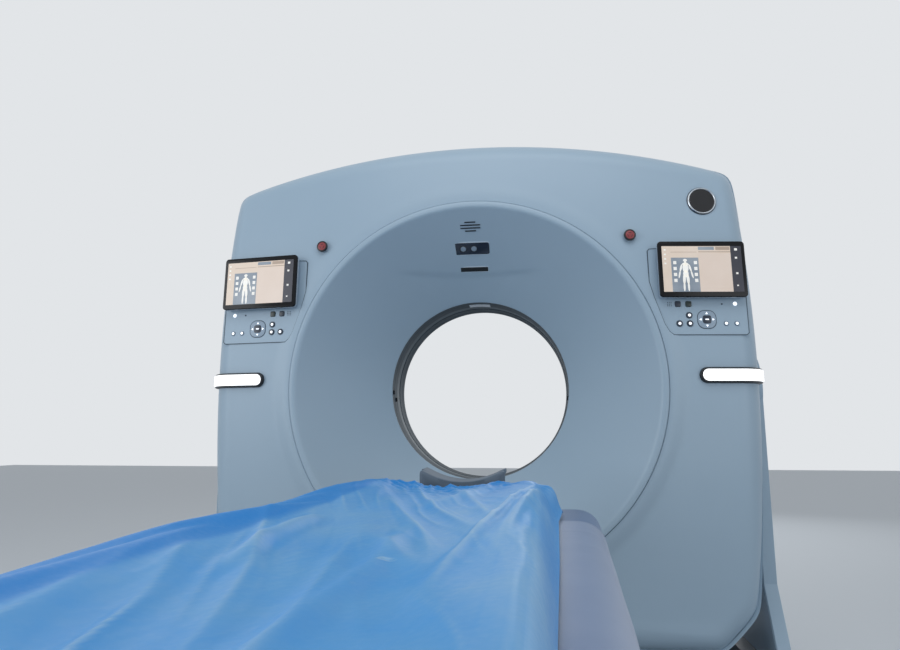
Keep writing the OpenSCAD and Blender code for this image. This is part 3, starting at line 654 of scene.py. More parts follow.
# Funnel fittings
# Dark camera plate with two round eyes in a pale rim, a black laser slot below it, and four
# speaker slots above it, all set into the upper slope.
FITTING_X = -0.009
SPEAKERS_DOWN, CAMERA_DOWN, LASER_DOWN = 0.077, 0.170, 0.262
eye_black = finish("eye_black", moulded, (33, 45, 62), (26, 37, 53), 0.16, patch=20.0,
                   spread=0.05, Coat_Weight=0.5, Coat_Roughness=0.08)
eye_grey = finish("eye_grey", moulded, (140, 156, 172), (120, 138, 156), 0.2, patch=60.0)
slot_black = finish("slot_black", moulded, (20, 24, 28), (14, 17, 20), 0.4, patch=20.0)
rim_pale = finish("rim_pale", moulded, (186, 200, 212), (176, 191, 204), 0.3, patch=20.0)


def slope_place(distance, lift=0.0):
    """Frame at a distance down the funnel's slope: x across, y up the slope, z out of it."""
    slope = math.atan2(FUNNEL_BEND[1] - FUNNEL_MOUTH[1], FUNNEL_MOUTH[0] - FUNNEL_BEND[0])
    return (Matrix.Translation((FITTING_X, FUNNEL_MOUTH[1] + distance * math.sin(slope),
                                ISO + FUNNEL_MOUTH[0] - distance * math.cos(slope)))
            @ Matrix.Rotation(slope + math.pi / 2, 4, "X") @ Matrix.Translation((0, 0, lift)))


def rise(edge):
    return abs((edge.verts[0].co - edge.verts[1].co).z)


def slab(width, height, thickness, corner, edge):
    """Plate with rounded corners and softened front and back rims, its middle at the origin."""
    plate = box(width, height, thickness)
    ease_edges(plate, [e for e in plate.edges if rise(e) > thickness * 0.5], corner, 7)
    ease_edges(plate, [e for e in plate.edges if rise(e) < thickness * 0.1], edge, 3)
    return plate


def disc(radius, thickness, edge, segments=48):
    """Round button blank with softened rims, its middle at the origin."""
    blank = bmesh.new()
    bmesh.ops.create_cone(blank, cap_ends=True, segments=segments, radius1=radius, radius2=radius,
                          depth=thickness)
    ease_edges(blank, [e for e in blank.edges if rise(e) < thickness * 0.1], edge, 3)
    return blank


fittings = bmesh.new()
join(fittings, slab(0.142, 0.058, 0.006, 0.010, 0.0012), slope_place(CAMERA_DOWN, -0.0008), 3)
join(fittings, slab(0.134, 0.050, 0.006, 0.008, 0.0010), slope_place(CAMERA_DOWN, 0.0004), 0)
for across in (-0.042, -0.001):
    spot = Matrix.Translation((across - FITTING_X, 0, 0))
    join(fittings, disc(0.0135, 0.003, 0.0006), slope_place(CAMERA_DOWN, 0.0025) @ spot, 2)
    join(fittings, disc(0.0105, 0.003, 0.0008), slope_place(CAMERA_DOWN, 0.0034) @ spot, 1)
join(fittings, slab(0.122, 0.026, 0.006, 0.004, 0.0010), slope_place(LASER_DOWN, -0.0012), 3)
join(fittings, slab(0.114, 0.019, 0.006, 0.003, 0.0006), slope_place(LASER_DOWN, -0.0004), 2)
camera_plate = new_piece("camera_plate", fittings, [eye_black, eye_grey, slot_black, rim_pale])
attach(camera_plate, "gantry")
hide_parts("camera_panel")
grille = bmesh.new()
for row, width in ((-1.5, 0.042), (-0.5, 0.076), (0.5, 0.076), (1.5, 0.042)):
    bar = slab(width, 0.0042, 0.0024, 0.0019, 0.0004)
    bmesh.ops.bisect_plane(bar, geom=bar.verts[:] + bar.edges[:] + bar.faces[:],
                           plane_co=(0, 0, 0), plane_no=(1, 0, 0))
    join(grille, bar,
         slope_place(SPEAKERS_DOWN, 0.0014) @ Matrix.Translation((0, row * 0.012, 0)), 0)
speaker_slots = new_piece("speaker_slots", grille, [slot_black])
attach(speaker_slots, "gantry")
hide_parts("speaker_grille")

# Displays
# Flat touch displays: a black glass front with rounded corners over a satin-grey tray and a
# smaller block, with a lit picture of plain blocks and a plain body outline.
bezel_black = finish("bezel_black", moulded, (13, 15, 20), (9, 11, 15), 0.2, patch=9.0,
                     spread=0.04, bump=0.0, Specular_IOR_Level=0.22)
tray_silver = finish("tray_silver", moulded, (186, 196, 206), (172, 183, 194), 0.3, patch=9.0,
                     Metallic=0.35)
SCREEN_FINISHES = [
    finish(name, moulded, colour, shade, roughness, patch=patch, bump=0.0, lit=lit)
    for name, colour, shade, roughness, patch, lit in (
        ("screen_sand", (226, 206, 186), (232, 214, 198), 0.35, 9.0, 0.15),
        ("screen_warm", (232, 214, 200), (226, 206, 190), 0.35, 7.0, 0.15),
        ("screen_slate", (126, 138, 152), (164, 172, 180), 0.35, 9.0, 0.08),
        ("screen_dark", (52, 52, 64), (44, 46, 58), 0.3, 9.0, 0.05),
        ("screen_white", (240, 238, 232), (232, 228, 220), 0.35, 20.0, 0.3),
        ("screen_line", (186, 164, 146), (176, 156, 140), 0.35, 20.0, 0.1))]
SAND, WARM, SLATE, DARK, WHITE, LINE = range(6)
SCREEN_W, SCREEN_H = 0.276, 0.164


def tile(left, low, right, high, depth):
    """Thin flat tile in the screen's own frame, from shares of its width and height."""
    return box((right - left) * SCREEN_W, (high - low) * SCREEN_H, 0.0003,
               ((left + right - 1) / 2 * SCREEN_W, (low + high - 1) / 2 * SCREEN_H, depth))


def limb(start, end, width, depth):
    """Flat oval limb between two spots, in shares of the screen's height from its middle."""
    way = (Vector(end) - Vector(start)) * SCREEN_H
    middle = (Vector(end) + Vector(start)) / 2 * SCREEN_H
    shape = bmesh.new()
    bmesh.ops.create_cone(shape, cap_ends=True, segments=24, radius1=1, radius2=1, depth=1,
                          matrix=Matrix.Translation((middle.x, middle.y, depth))
                          @ Matrix.Rotation(math.atan2(way.y, way.x), 4, "Z")
                          @ Matrix.Diagonal((way.length / 2 + width * SCREEN_H / 4,
                                             width * SCREEN_H / 2, 0.0004, 1.0)))
    return shape


def screen_picture(target, place):
    """Plain blocks, lamps and a body outline, laid over each other in steps of depth."""
    for *spot, depth, material in (
            (0.0, 0.0, 0.865, 1.0, 0.0, SAND), (0.46, 0.0, 0.865, 0.845, 0.0003, WARM),
            (0.865, 0.0, 1.0, 1.0, 0.0003, DARK), (0.11, 0.0, 0.455, 0.745, 0.0003, SLATE),
            (0.46, 0.865, 0.865, 0.880, 0.0004, LINE), (0.46, 0.915, 0.66, 0.985, 0.0004, SLATE),
            (0.68, 0.915, 0.855, 0.985, 0.0004, LINE), (0.11, 0.865, 0.44, 0.872, 0.0004, LINE)):
        join(target, tile(*spot, depth), place, material)
    marks = [(left, low, 0.04, 0.07) for low in (0.60, 0.47, 0.34, 0.21) for left in (0.135, 0.395)]
    marks += [(0.025, low, 0.025, 0.035) for low in (0.90, 0.80, 0.70, 0.60)]
    marks += [(0.915, low, size * 0.7, size)
              for low, size in ((0.90, 0.05), (0.72, 0.04), (0.38, 0.04), (0.12, 0.03))]
    for left, low, wide, tall in marks:
        join(target, tile(left, low, left + wide, low + tall, 0.0006), place, WHITE)
    shift = (0.285 - 0.5) * SCREEN_W / SCREEN_H
    bones = [((0, 0.175), (0, 0.195), 0.085), ((0, 0.11), (0, 0.15), 0.05),
             ((-0.05, 0.10), (0.05, 0.10), 0.07), ((0, 0.09), (0, -0.06), 0.125),
             ((0, -0.06), (0, -0.16), 0.115)]
    for side in (-1, 1):
        bones += [((side * 0.075, 0.09), (side * 0.115, -0.05), 0.042),
                  ((side * 0.115, -0.05), (side * 0.150, -0.20), 0.034),
                  ((side * 0.034, -0.13), (side * 0.044, -0.32), 0.062),
                  ((side * 0.044, -0.30), (side * 0.048, -0.48), 0.042)]
    for start, end, wide in bones:
        part = limb((start[0] + shift, start[1]), (end[0] + shift, end[1]), wide, 0.0008)
        join(target, part, place, WHITE)


display_mesh = bmesh.new()
picture_mesh = bmesh.new()
for left in (False, True):
    for plate, down, back, shade in (((0.302, 0.200, 0.011, 0.012, 0.0022), 0, 0.0058, 0),
                                     ((0.300, 0.198, 0.0135, 0.012, 0.0040), 0.001, 0.0172, 1),
                                     ((0.216, 0.136, 0.011, 0.020, 0.0020), 0, 0.0287, 1)):
        join(display_mesh, slab(*plate), PANEL_PLACE @ Matrix.Translation((0, -down, -back)),
             shade, left)
    screen_picture(picture_mesh,
                   panel_frame(-1 if left else 1) @ Matrix.Translation((0, 0, -0.0002)))
display_cases = new_piece("display_cases", display_mesh, [bezel_black, tray_silver])
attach(display_cases, "gantry")
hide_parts("display_housings")
display_pictures = new_piece("display_pictures", picture_mesh, SCREEN_FINISHES)
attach(display_pictures, "gantry")
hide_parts("display_screens")

# Control panels
# Flat moulded inserts flush with the cover under each display, with holes for the keys, a thin dark
# ribbon round them as painted shadow in their seams, nine fine dots, small lamps, and two key
# boards behind.
# Dark grey for the painted seam shadow round the inserts, and also for the ring round the pad, the
# dots and the small dark lamps.
seam_shadow_and_dot_dark = finish("seam_shadow_and_dot_dark", moulded, (70, 84, 97), (62, 76, 88), 0.6, patch=20.0)
board_green = finish("board_green", moulded, (38, 92, 62), (32, 80, 54), 0.45, patch=30.0)
lamp_white = finish("lamp_white", moulded, (244, 248, 252), (236, 242, 250), 0.3, patch=30.0,
                    bump=0.0, lit=0.9)
KEY_PLANE = -0.034
KEY_SPOTS = {"square_key_inner": (-46, -118), "square_key_outer": (-83, -118),
             "ring_key_top": (-46, -158), "ring_key_low": (-45, -187),
             "ring_key_corner": (-81, -187), "white_key_inner": (80, -187),
             "white_key_outer": (117, -187), "nav_pad": (14, -173)}


def rounded(width, corner, low, high, edge=0.0):
    """Upright block with rounded corners between two heights, its top rim eased."""
    block = box(width, width, high - low, (0, 0, (low + high) / 2))
    ease_edges(block, [e for e in block.edges if rise(e) > 1e-5], corner, 8)
    if edge:
        top_rim = [e for e in block.edges if min(v.co.z for v in e.verts) > high - 1e-6]
        ease_edges(block, top_rim, edge, 3)
    return block


def key_blank(kind, grow, low, high, edge=0.0):
    """Block in the outline of a kind of key, grown for a hole or a rim."""
    if kind.startswith("square"):
        return rounded(0.020 + 2 * grow, 0.0045 + grow, low, high, edge)
    if kind == "nav_pad":
        return rounded(0.062 + 2 * grow, 0.0240 + grow, low, high, edge)
    radius = 0.011 if kind.startswith("ring") else 0.008
    return rounded(2 * radius + 2 * grow, (radius + grow) * 0.97, low, high, edge)


def on_panel(x, y, depth=KEY_PLANE):
    return PANEL_PLACE @ Matrix.Translation((x, y, depth))


def key_place(kind, lift=0.0):
    x, y = KEY_SPOTS[kind]
    return on_panel(x / 1000, y / 1000, KEY_PLANE + lift)


def hollow(plate, width):
    """Leaves only a rim of a plate's two flat sides."""
    flat = [f for f in plate.faces if abs(f.normal.z) > 0.9]
    bmesh.ops.inset_region(plate, faces=flat, thickness=width, use_even_offset=True,
                           use_boundary=True)
    middle = [f for f in plate.faces if abs(f.normal.z) > 0.9 and len(f.verts) > 4]
    bmesh.ops.delete(plate, geom=middle, context="FACES")


inserts = bmesh.new()
holes = bmesh.new()
for left in (False, True):
    join(inserts, outline_block(PANEL_OUTLINE, KEY_PLANE - 0.008, KEY_PLANE), PANEL_PLACE, 0, left)
    for kind in KEY_SPOTS:
        join(holes, key_blank(kind, 0.0004, -0.012, 0.004), key_place(kind), 0, left)
panel_inserts = new_piece("panel_inserts", inserts, [cover_white])
harden(panel_inserts, 0, as_object("key_holes", holes))
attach(panel_inserts, "gantry")
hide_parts("control_panels")

details = bmesh.new()
for left in (False, True):
    # Painted shadow: a thin dark ribbon set just in front of the cover round each insert stands for
    # the shade in its seam.
    rim = outline_block(PANEL_OUTLINE, KEY_PLANE - 0.004, KEY_PLANE + 0.0008, 0.0010)
    hollow(rim, 0.0026)
    bmesh.ops.subdivide_edges(rim, edges=rim.edges, cuts=3)
    bmesh.ops.transform(rim, matrix=PANEL_PLACE, verts=rim.verts)
    for vert in rim.verts:
        vert.co.y = min(vert.co.y, cover_depth(vert.co.x, vert.co.z) - 0.0009)
    join(details, rim, None, 0, left)
    pad_rim = key_blank("nav_pad", 0.0022, -0.002, 0.0008)
    hollow(pad_rim, 0.0018)
    join(details, pad_rim, key_place("nav_pad"), 0, left)
    for x in (-0.048, 0.076):
        join(details, rounded(0.122, 0.002, -0.0510, -0.0470), on_panel(x, -0.157, 0), 1, left)
    for across in (-0.006, 0.0, 0.006):
        for up in (-0.006, 0.0, 0.006):
            join(details, disc(0.0016, 0.0014, 0.0003, 12), on_panel(-0.112 + across, -0.118 + up),
                 0, left)
panel_details = new_piece("panel_details", details, [seam_shadow_and_dot_dark, board_green])
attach(panel_details, "gantry")
lamps = bmesh.new()
for left in (False, True):
    join(lamps, disc(0.0072, 0.003, 0.0012, 32), on_panel(0.116, -0.117), 0, left)
    join(lamps, disc(0.003, 0.003, 0.0008, 24), on_panel(0.070, -0.118), 1, left)
lamp_studs = new_piece("lamp_studs", lamps, [lamp_white, seam_shadow_and_dot_dark])
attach(lamp_studs, "gantry")
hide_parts("panel_lamps")

# Panel keys
# Small moulded keys that spring back: two square ones, three dark and two pale round ones
# with a lit centre, and a wide pad with four lit arrows and a lit bar on a dark centre.
key_green = finish("key_green", moulded, (22, 44, 42), (17, 36, 35), 0.3, patch=60.0)
key_navy = finish("key_navy", moulded, (33, 48, 66), (27, 41, 58), 0.3, patch=60.0)
key_pale = finish("key_pale", moulded, (158, 176, 192), (150, 168, 185), 0.4, patch=40.0)
key_rim = finish("key_rim", moulded, (104, 120, 136), (96, 112, 128), 0.45, patch=40.0)


def arrow(turn, reach):
    """Small flat triangle that points outwards."""
    point = bmesh.new()
    bmesh.ops.create_cone(point, cap_ends=True, segments=3, radius1=0.0052, radius2=0.0048,
                          depth=0.0008)
    bmesh.ops.transform(point, matrix=Matrix.Rotation(turn, 4, "Z")
                        @ Matrix.Translation((0, reach, 0)), verts=point.verts)
    return point


for kind in KEY_SPOTS:
    for side in ("right", "left"):
        left = side == "left"
        key = bmesh.new()
        if kind.startswith("square"):
            shade = 0 if kind.endswith("inner") else 1
            join(key, key_blank(kind, 0, -0.009, 0.003, 0.0012), key_place(kind), shade, left)
        elif kind.startswith("ring"):
            join(key, key_blank(kind, 0, -0.009, 0.003, 0.0012), key_place(kind), 1, left)
            join(key, disc(0.0050, 0.0010, 0.0003, 24), key_place(kind, 0.0032), 4, left)
        elif kind.startswith("white"):
            join(key, key_blank(kind, 0, -0.009, 0.0025, 0.0010), key_place(kind), 3, left)
            join(key, disc(0.0052, 0.0016, 0.0005, 24), key_place(kind, 0.0026), 4, left)
        else:
            join(key, key_blank(kind, 0, -0.009, 0.0022, 0.0014), key_place(kind), 2, left)
            join(key, rounded(0.029, 0.0075, 0.0, 0.0035, 0.0010), key_place(kind), 1, left)
            join(key, box(0.012, 0.0042, 0.001), key_place(kind, 0.0034), 4, left)
            for step in range(4):
                join(key, arrow(step * math.pi / 2, 0.0215), key_place(kind, 0.0024), 4, left)
        name = f"{kind}_{side}"
        pressed = new_piece(f"{name}_cap", key,
                            [key_green, key_navy, key_pale, key_rim, lamp_white])
        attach(pressed, name)
        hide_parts(name)

# Stop buttons
# Round push buttons, a dark red cap in a black rim on a plain stem, with three curved
# ridges moulded into the cap.
stop_red = finish("stop_red", moulded, (150, 62, 66), (136, 52, 56), 0.35, patch=60.0)
stop_mark = finish("stop_mark", moulded, (74, 26, 34), (66, 20, 28), 0.4, patch=60.0)
stop_rim = finish("stop_rim", moulded, (24, 18, 26), (18, 14, 20), 0.3, patch=60.0)


def lathe(profile, steps=64):
    """Closed profile of radius and height, spun about the upright axis."""
    return spun([(radius, 0, height) for radius, height in profile], (0, 0, 0), (0, 0, 1), steps)


for side in ("right", "left"):
    left = side == "left"
    stop = bmesh.new()
    place = on_cover(STOP_X, STOP_Z, 0)
    join(stop, disc(0.0156, 0.029, 0.0010), place @ Matrix.Translation((0, 0, -0.0075)), 2, left)
    join(stop, lathe([(0.0145, 0.0082), (0.0198, 0.0082), (0.0210, 0.0092), (0.0210, 0.0140),
                      (0.0200, 0.0156), (0.0172, 0.0160), (0.0158, 0.0150), (0.0145, 0.0140)]),
         place, 2, left)
    join(stop, disc(0.0156, 0.0078, 0.0008), place @ Matrix.Translation((0, 0, 0.0112)), 0, left)
    for step in range(3):
        ridge = lathe([(0.0068, 0.0146), (0.0096, 0.0146), (0.0092, 0.0158), (0.0072, 0.0158)], 60)
        middles = [(face, face.calc_center_median()) for face in ridge.faces]
        bmesh.ops.delete(ridge, context="FACES",
                         geom=[face for face, spot in middles
                               if abs(math.atan2(spot.x, spot.y)) > 0.62])
        bmesh.ops.holes_fill(ridge, edges=ridge.edges, sides=8)
        join(stop, ridge, place @ Matrix.Rotation(step * 2 * math.pi / 3, 4, "Z"), 1, left)
    name = f"stop_button_{side}"
    stop_cap = new_piece(f"{name}_cap", stop, [stop_red, stop_mark, stop_rim])
    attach(stop_cap, name)
    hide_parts(name)

# Grips and lamps
# Black moulded grips that wrap the front corners, each with a long lit lens let into it.
grip_black = finish("grip_black", moulded, (26, 29, 33), (20, 23, 27), 0.32, patch=12.0,
                    grain=800.0)
lens_glow = finish("lens_glow", moulded, (255, 255, 255), (250, 252, 255), 0.3, patch=9.0,
                   bump=0.0, lit=1.1)
GRIP_Z, GRIP_HALF, GRIP_IN = ISO + 0.024, 0.0285, 0.779


def corner_path():
    """Places and outward directions along the face, round the rolled corner and the side."""
    level = math.atan2(GRIP_Z - ISO, 0.95)
    start = outline_reach(level, RIM_Y) - ROLL
    spots = []
    for step in range(61):
        x = GRIP_IN + (start - GRIP_IN) * step / 60
        spots.append((x, cover_depth(x, GRIP_Z)))
    corner_y = spots[-1][1]
    for step in range(1, 31):
        turn = math.radians(step * 3)
        y = corner_y + ROLL * (1 - math.cos(turn))
        spots.append((outline_reach(level, y) - ROLL * (1 - math.sin(turn)), y))
    for step in range(1, 21):
        y = spots[90][1] + (-0.250 - spots[90][1]) * step / 20
        spots.append((outline_reach(level, y), y))
    path = []
    for index, (x, y) in enumerate(spots):
        back, ahead = spots[max(index - 3, 0)], spots[min(index + 3, len(spots) - 1)]
        way = Vector((ahead[0] - back[0], ahead[1] - back[1])).normalized()
        path.append((Vector((x, y)), Vector((way.y, -way.x))))
    return path


def swept_band(half, base, proud, inset, round_by):
    """Band along the corner path with a round inner end and eased edges."""
    path = corner_path()
    ring = 24
    band = bmesh.new()
    bmesh.ops.create_grid(band, x_segments=len(path) + 11, y_segments=ring, size=1.0)
    rows = {}
    for vert in band.verts:
        rows.setdefault(round(vert.co.x, 5), []).append(vert)
    lengths = [0.0]
    for index in range(1, len(path)):
        lengths.append(lengths[-1] + (path[index][0] - path[index - 1][0]).length)
    ends = [inset + half * (1 - math.cos(math.radians(a))) for a in range(0, 90, 8)]
    stations = ends + [inset + half + (lengths[-1] - inset - half) * i / (len(path) - 1)
                       for i in range(len(path))]
    for index, key in enumerate(sorted(rows)):
        along_path = stations[min(index, len(stations) - 1)]
        place = max(i for i in range(len(path)) if lengths[i] <= along_path + 1e-9)
        share = 0.0
        if place < len(path) - 1:
            share = (along_path - lengths[place]) / (lengths[place + 1] - lengths[place])
        after = path[min(place + 1, len(path) - 1)]
        spot = path[place][0].lerp(after[0], share)
        way = path[place][1].lerp(after[1], share).normalized()
        short = max(0.0, half - (along_path - inset))
        reach = math.sqrt(max(half ** 2 - short ** 2, 0.0))
        for vert in rows[key]:
            across = vert.co.y
            edge = max(0.0, (abs(across) * reach - (reach - round_by)) / round_by)
            end = max(0.0, 1 - (along_path - inset) / round_by)
            tail = max(0.0, 1 - (lengths[-1] - along_path) / round_by)
            drop = min(1.0, math.sqrt(edge ** 2 + end ** 2 + tail ** 2))
            lift = base + (proud - base) * math.sqrt(1 - drop ** 2)
            vert.co = (spot.x + way.x * lift, spot.y + way.y * lift, GRIP_Z + across * reach)
    bmesh.ops.remove_doubles(band, verts=band.verts, dist=1e-6)
    bmesh.ops.recalc_face_normals(band, faces=band.faces)
    band.normal_update()
    band.faces.ensure_lookup_table()
    if band.faces[len(band.faces) // 3].normal.y > 0:
        bmesh.ops.reverse_faces(band, faces=band.faces)
    return band


grips, lenses = bmesh.new(), bmesh.new()
for left in (False, True):
    join(grips, swept_band(GRIP_HALF, -0.003, 0.014, 0.0, 0.006), None, 0, left)
    join(lenses, swept_band(GRIP_HALF - 0.0068, 0.0095, 0.0172, 0.0072, 0.005), None, 0, left)
corner_grips = new_piece("corner_grips", grips, [grip_black])
corner_lenses = new_piece("corner_lenses", lenses, [lens_glow])
for made, node, slot_name in ((corner_grips, "grip_housings", "black_plastic"),
                              (corner_lenses, "grip_lights", "lamp_lens")):
    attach(made, "gantry")
    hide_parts(node)

# Badge
# Plain disc of dark enamel in a bright turned metal rim, on a dark seat that lies in a
# shallow round dish of the front cover.
badge_metal = finish("badge_metal", drawn, (206, 212, 218), (186, 193, 200), 0.22, patch=60.0,
                     grain=900.0, Metallic=1.0)
badge_enamel = finish("badge_enamel", moulded, (22, 24, 29), (16, 18, 22), 0.18, patch=40.0,
                      spread=0.05, bump=0.0)
badge_seat = finish("badge_seat", moulded, (30, 44, 58), (24, 37, 50), 0.4, patch=40.0)
badge = bmesh.new()
place = on_cover(BADGE_X, BADGE_Z, 0)
join(badge, disc(0.0530, 0.0040, 0.0008, 96), place @ Matrix.Translation((0, 0, -0.0010)), 2)
join(badge, lathe([(0.0440, 0.0005), (0.0505, 0.0005), (0.0508, 0.0036), (0.0490, 0.0058),
                   (0.0465, 0.0060), (0.0448, 0.0042)], 96), place, 0)
join(badge, lathe([(0.0005, 0.0004), (0.0450, 0.0004), (0.0450, 0.0040), (0.0430, 0.0042),
                   (0.0300, 0.0046), (0.0005, 0.0048)], 96), place, 1)
badge_disc = new_piece("badge_disc", badge, [badge_metal, badge_enamel, badge_seat])
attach(badge_disc, "gantry")
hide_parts("badge")

# Table
# Welded deck frame on a lifting column, with a stretch fabric cover over the deck. The cover
# ends in a smoother pocket at the gantry end and has fine cross wrinkles at its seam.
deck_enamel = finish("deck_enamel", moulded, (150, 160, 170), (138, 149, 160), 0.45, patch=4.0,
                     bump=0.08)
cover_fabric = finish("cover_fabric", moulded, (137, 152, 180), (129, 144, 173), 0.42, patch=7.0,
                      grain=1400.0, spread=0.08, bump=0.25, depth=0.0004, Sheen_Weight=0.25,
                      Sheen_Roughness=0.4)
pocket_fabric = finish("pocket_fabric", moulded, (96, 121, 158), (90, 114, 151), 0.5, patch=7.0,
                       grain=1400.0, bump=0.2, Sheen_Weight=0.15)
dress(deck_enamel, "table_frame")
DECK_TOP, DECK_HEAD, DECK_FOOT = 0.650, -0.905, -3.195
DECK_HALF, DECK_TAPER, SEAM_Y = 0.385, 0.117, -1.150
STRIP_IN, SHOULDER = 0.110, 0.070
CLOTH_THICK, CLOTH_PROUD, SHOULDER_DROP, SKIRT_DROP = 0.0012, 0.008, 0.080, 0.0875
APRON_Z, APRON_WIDTH, APRON_HEIGHT = 0.536, 0.222, 0.108
FLAT_SHARE, WALL_SHARE = 0.36, 0.78


def quarter_round(share):
    """Height of a quarter circle at a share of its width, one from there on."""
    return math.sqrt(max(0.0, 1 - (1 - clamp(share)) ** 2))


def laid(across, lengthwise, place):
    """Grid whose every corner is set from its share across and its share lengthwise."""
    sheet = bmesh.new()
    bmesh.ops.create_grid(sheet, x_segments=across, y_segments=lengthwise, size=1.0)
    for vert in sheet.verts:
        vert.co = place((vert.co.x + 1) / 2, (vert.co.y + 1) / 2)
    bmesh.ops.remove_doubles(sheet, verts=sheet.verts, dist=1e-6)
    sheet.normal_update()
    return sheet


def between(points, at):
    """Value at a place on a line of points, each given as a place and a value."""
    if at <= points[0][0]:
        return points[0][1]
    for (low, first), (high, second) in zip(points, points[1:]):
        if at <= high:
            share = (at - low) / (high - low)
            return first + (second - first) * share
    return points[-1][1]


def deck_edge(across):
    """Distance out from the deck's edge and height from its top, down over the round shoulder."""
    if across > WALL_SHARE:
        down = (across - WALL_SHARE) / (1 - WALL_SHARE)
        return CLOTH_PROUD * (1 - down / 2), -SHOULDER_DROP - SKIRT_DROP * down
    turn = math.pi / 2 * max(0.0, across - FLAT_SHARE) / (WALL_SHARE - FLAT_SHARE)
    return ((SHOULDER + CLOTH_PROUD) * math.sin(turn) ** 0.8 - SHOULDER,
            -SHOULDER_DROP * (1 - max(0.0, math.cos(turn)) ** 0.8))


def deck_place(side):
    """Places on one side's half of the fitted cover, from the deck's top to its lower rim."""
    def place(across, lengthwise):
        share = clamp((lengthwise - 0.02) / 0.96)
        y = DECK_FOOT + (DECK_HEAD - DECK_FOOT) * share
        half = DECK_HALF - DECK_TAPER * (1 - share)
        out, down = deck_edge(across)
        z = DECK_TOP + down
        x = half + out
        if across <= FLAT_SHARE:
            x = STRIP_IN + (half - SHOULDER - STRIP_IN) * across / FLAT_SHARE
        pocket = clamp((y - SEAM_Y) / 0.006)
        inset = 0.0058 * pocket * min(1.0, across / FLAT_SHARE)
        inset += 0.006 * (1 - quarter_round(min(y - DECK_FOOT, DECK_HEAD - y) / 0.016))
        if across > 0.30 and y < SEAM_Y:
            fade = math.exp((y - SEAM_Y) / 0.13)
            ripple = noise.noise(Vector((x * 6, y * 34 + z * 18, z * 6)))
            inset += 0.0026 * fade * (1 + ripple)
            inset += 0.0009 * (1 + noise.noise(Vector((x * 5, y * 11, z * 20 + 7))))
        drop = clamp(2 - across / FLAT_SHARE)
        x -= inset * (1 - drop)
        z -= min(inset, 0.0016) * drop
        if lengthwise < 0.01 or lengthwise > 0.99:
            x = STRIP_IN
        return Vector((side * x, y, z))
    return place


deck_cloth = bmesh.new()
for side in (-1, 1):
    strip = laid(60, 400, deck_place(side))
    if max(strip.faces, key=lambda f: f.calc_center_median().z).normal.z < 0:
        bmesh.ops.reverse_faces(strip, faces=strip.faces)
    for face in strip.faces:
        face.material_index = 1 if face.calc_center_median().y > SEAM_Y + 0.003 else 0
    join(deck_cloth, strip)
for y, turned_out in ((DECK_HEAD - 0.0008, 1), (DECK_FOOT + 0.0008, 0)):
    apron = bmesh.new()
    bmesh.ops.create_grid(apron, x_segments=8, y_segments=8, size=0.5,
                          matrix=Matrix.Translation((0, y, APRON_Z))
                          @ Matrix.Rotation(math.pi / 2 * (-1 if turned_out else 1), 4, "X")
                          @ Matrix.Diagonal((APRON_WIDTH, APRON_HEIGHT, 1, 1)))
    join(deck_cloth, apron, material=1)
bmesh.ops.dissolve_degenerate(deck_cloth, edges=deck_cloth.edges, dist=0.0002)
cover_area = sum(face.calc_area() for face in deck_cloth.faces)
deck_cloth.normal_update()
lining = bmesh.ops.extrude_face_region(deck_cloth, geom=deck_cloth.faces[:], use_keep_orig=True)
for vert in corners_of(lining["geom"]):
    vert.co -= vert.normal * CLOTH_THICK
bmesh.ops.recalc_face_normals(deck_cloth, faces=deck_cloth.faces)
deck_cover = new_piece("deck_cover", deck_cloth, [cover_fabric, pocket_fabric], 50)
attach(deck_cover, "table_top")
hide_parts("table_cover")

# Cradle and headrest
# Moulded carbon tray with a thin vinyl mattress, and a grey foam headrest on a carbon tongue
# bolted to the tray's end.
carbon = finish("carbon", moulded, (48, 54, 60), (40, 46, 52), 0.3, patch=14.0, grain=900.0,
                spread=0.12, bump=0.08, Coat_Weight=0.3, Coat_Roughness=0.15)
pad_vinyl = finish("pad_vinyl", moulded, (70, 82, 96), (62, 74, 88), 0.45, patch=9.0,
                   grain=1100.0, bump=0.22, depth=0.0005)
headrest_foam = finish("headrest_foam", moulded, (92, 108, 124), (85, 101, 117), 0.6, patch=8.0,
                       grain=1100.0, bump=0.15)
dress(carbon, "cradle")
TRAY_AXIS, TRAY_R = 1.277, 0.600
PAD_FOOT, PAD_HEAD, PAD_HALF, PAD_R = -3.155, -0.935, 0.195, TRAY_R - 0.005


def pad_place(around, lengthwise):
    """Closed section that thins towards its piped edges, with shallow cross quilting."""
    y = PAD_FOOT + (PAD_HEAD - PAD_FOOT) * clamp((lengthwise - 0.01) / 0.98)
    turn = around * 2 * math.pi
    reach = PAD_HALF * math.copysign(abs(math.cos(turn)) ** 0.55, math.cos(turn))
    thick = 0.5 * (1 - math.cos(turn * 2)) ** 0.35 / 2 ** 0.35
    thick *= quarter_round(min(y - PAD_FOOT, PAD_HEAD - y) / 0.02)
    quilt = 1 - 0.10 * math.exp(-((y * 4.5) % 1.0 - 0.5) ** 2 / 0.004)
    quilt -= 0.05 * abs(noise.noise(Vector((reach * 14, y * 14, 0))))
    side = 1 if math.sin(turn) > 0 else -1
    radius = PAD_R - side * thick * 0.0092 * (quilt if side > 0 else 1.0)
    if lengthwise < 0.005 or lengthwise > 0.995:
        reach, radius = reach * 0.97, PAD_R
    angle = reach / TRAY_R
    return Vector((radius * math.sin(angle), y, TRAY_AXIS - radius * math.cos(angle)))


mattress = laid(72, 320, pad_place)
bmesh.ops.recalc_face_normals(mattress, faces=mattress.faces)
cradle_mattress = new_piece("cradle_mattress", mattress, [pad_vinyl], 60)
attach(cradle_mattress, "cradle")
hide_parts("cradle_pad")

REST_R, REST_HALF, REST_NEAR, REST_TIP = 0.231, 0.127, -0.750, -0.600


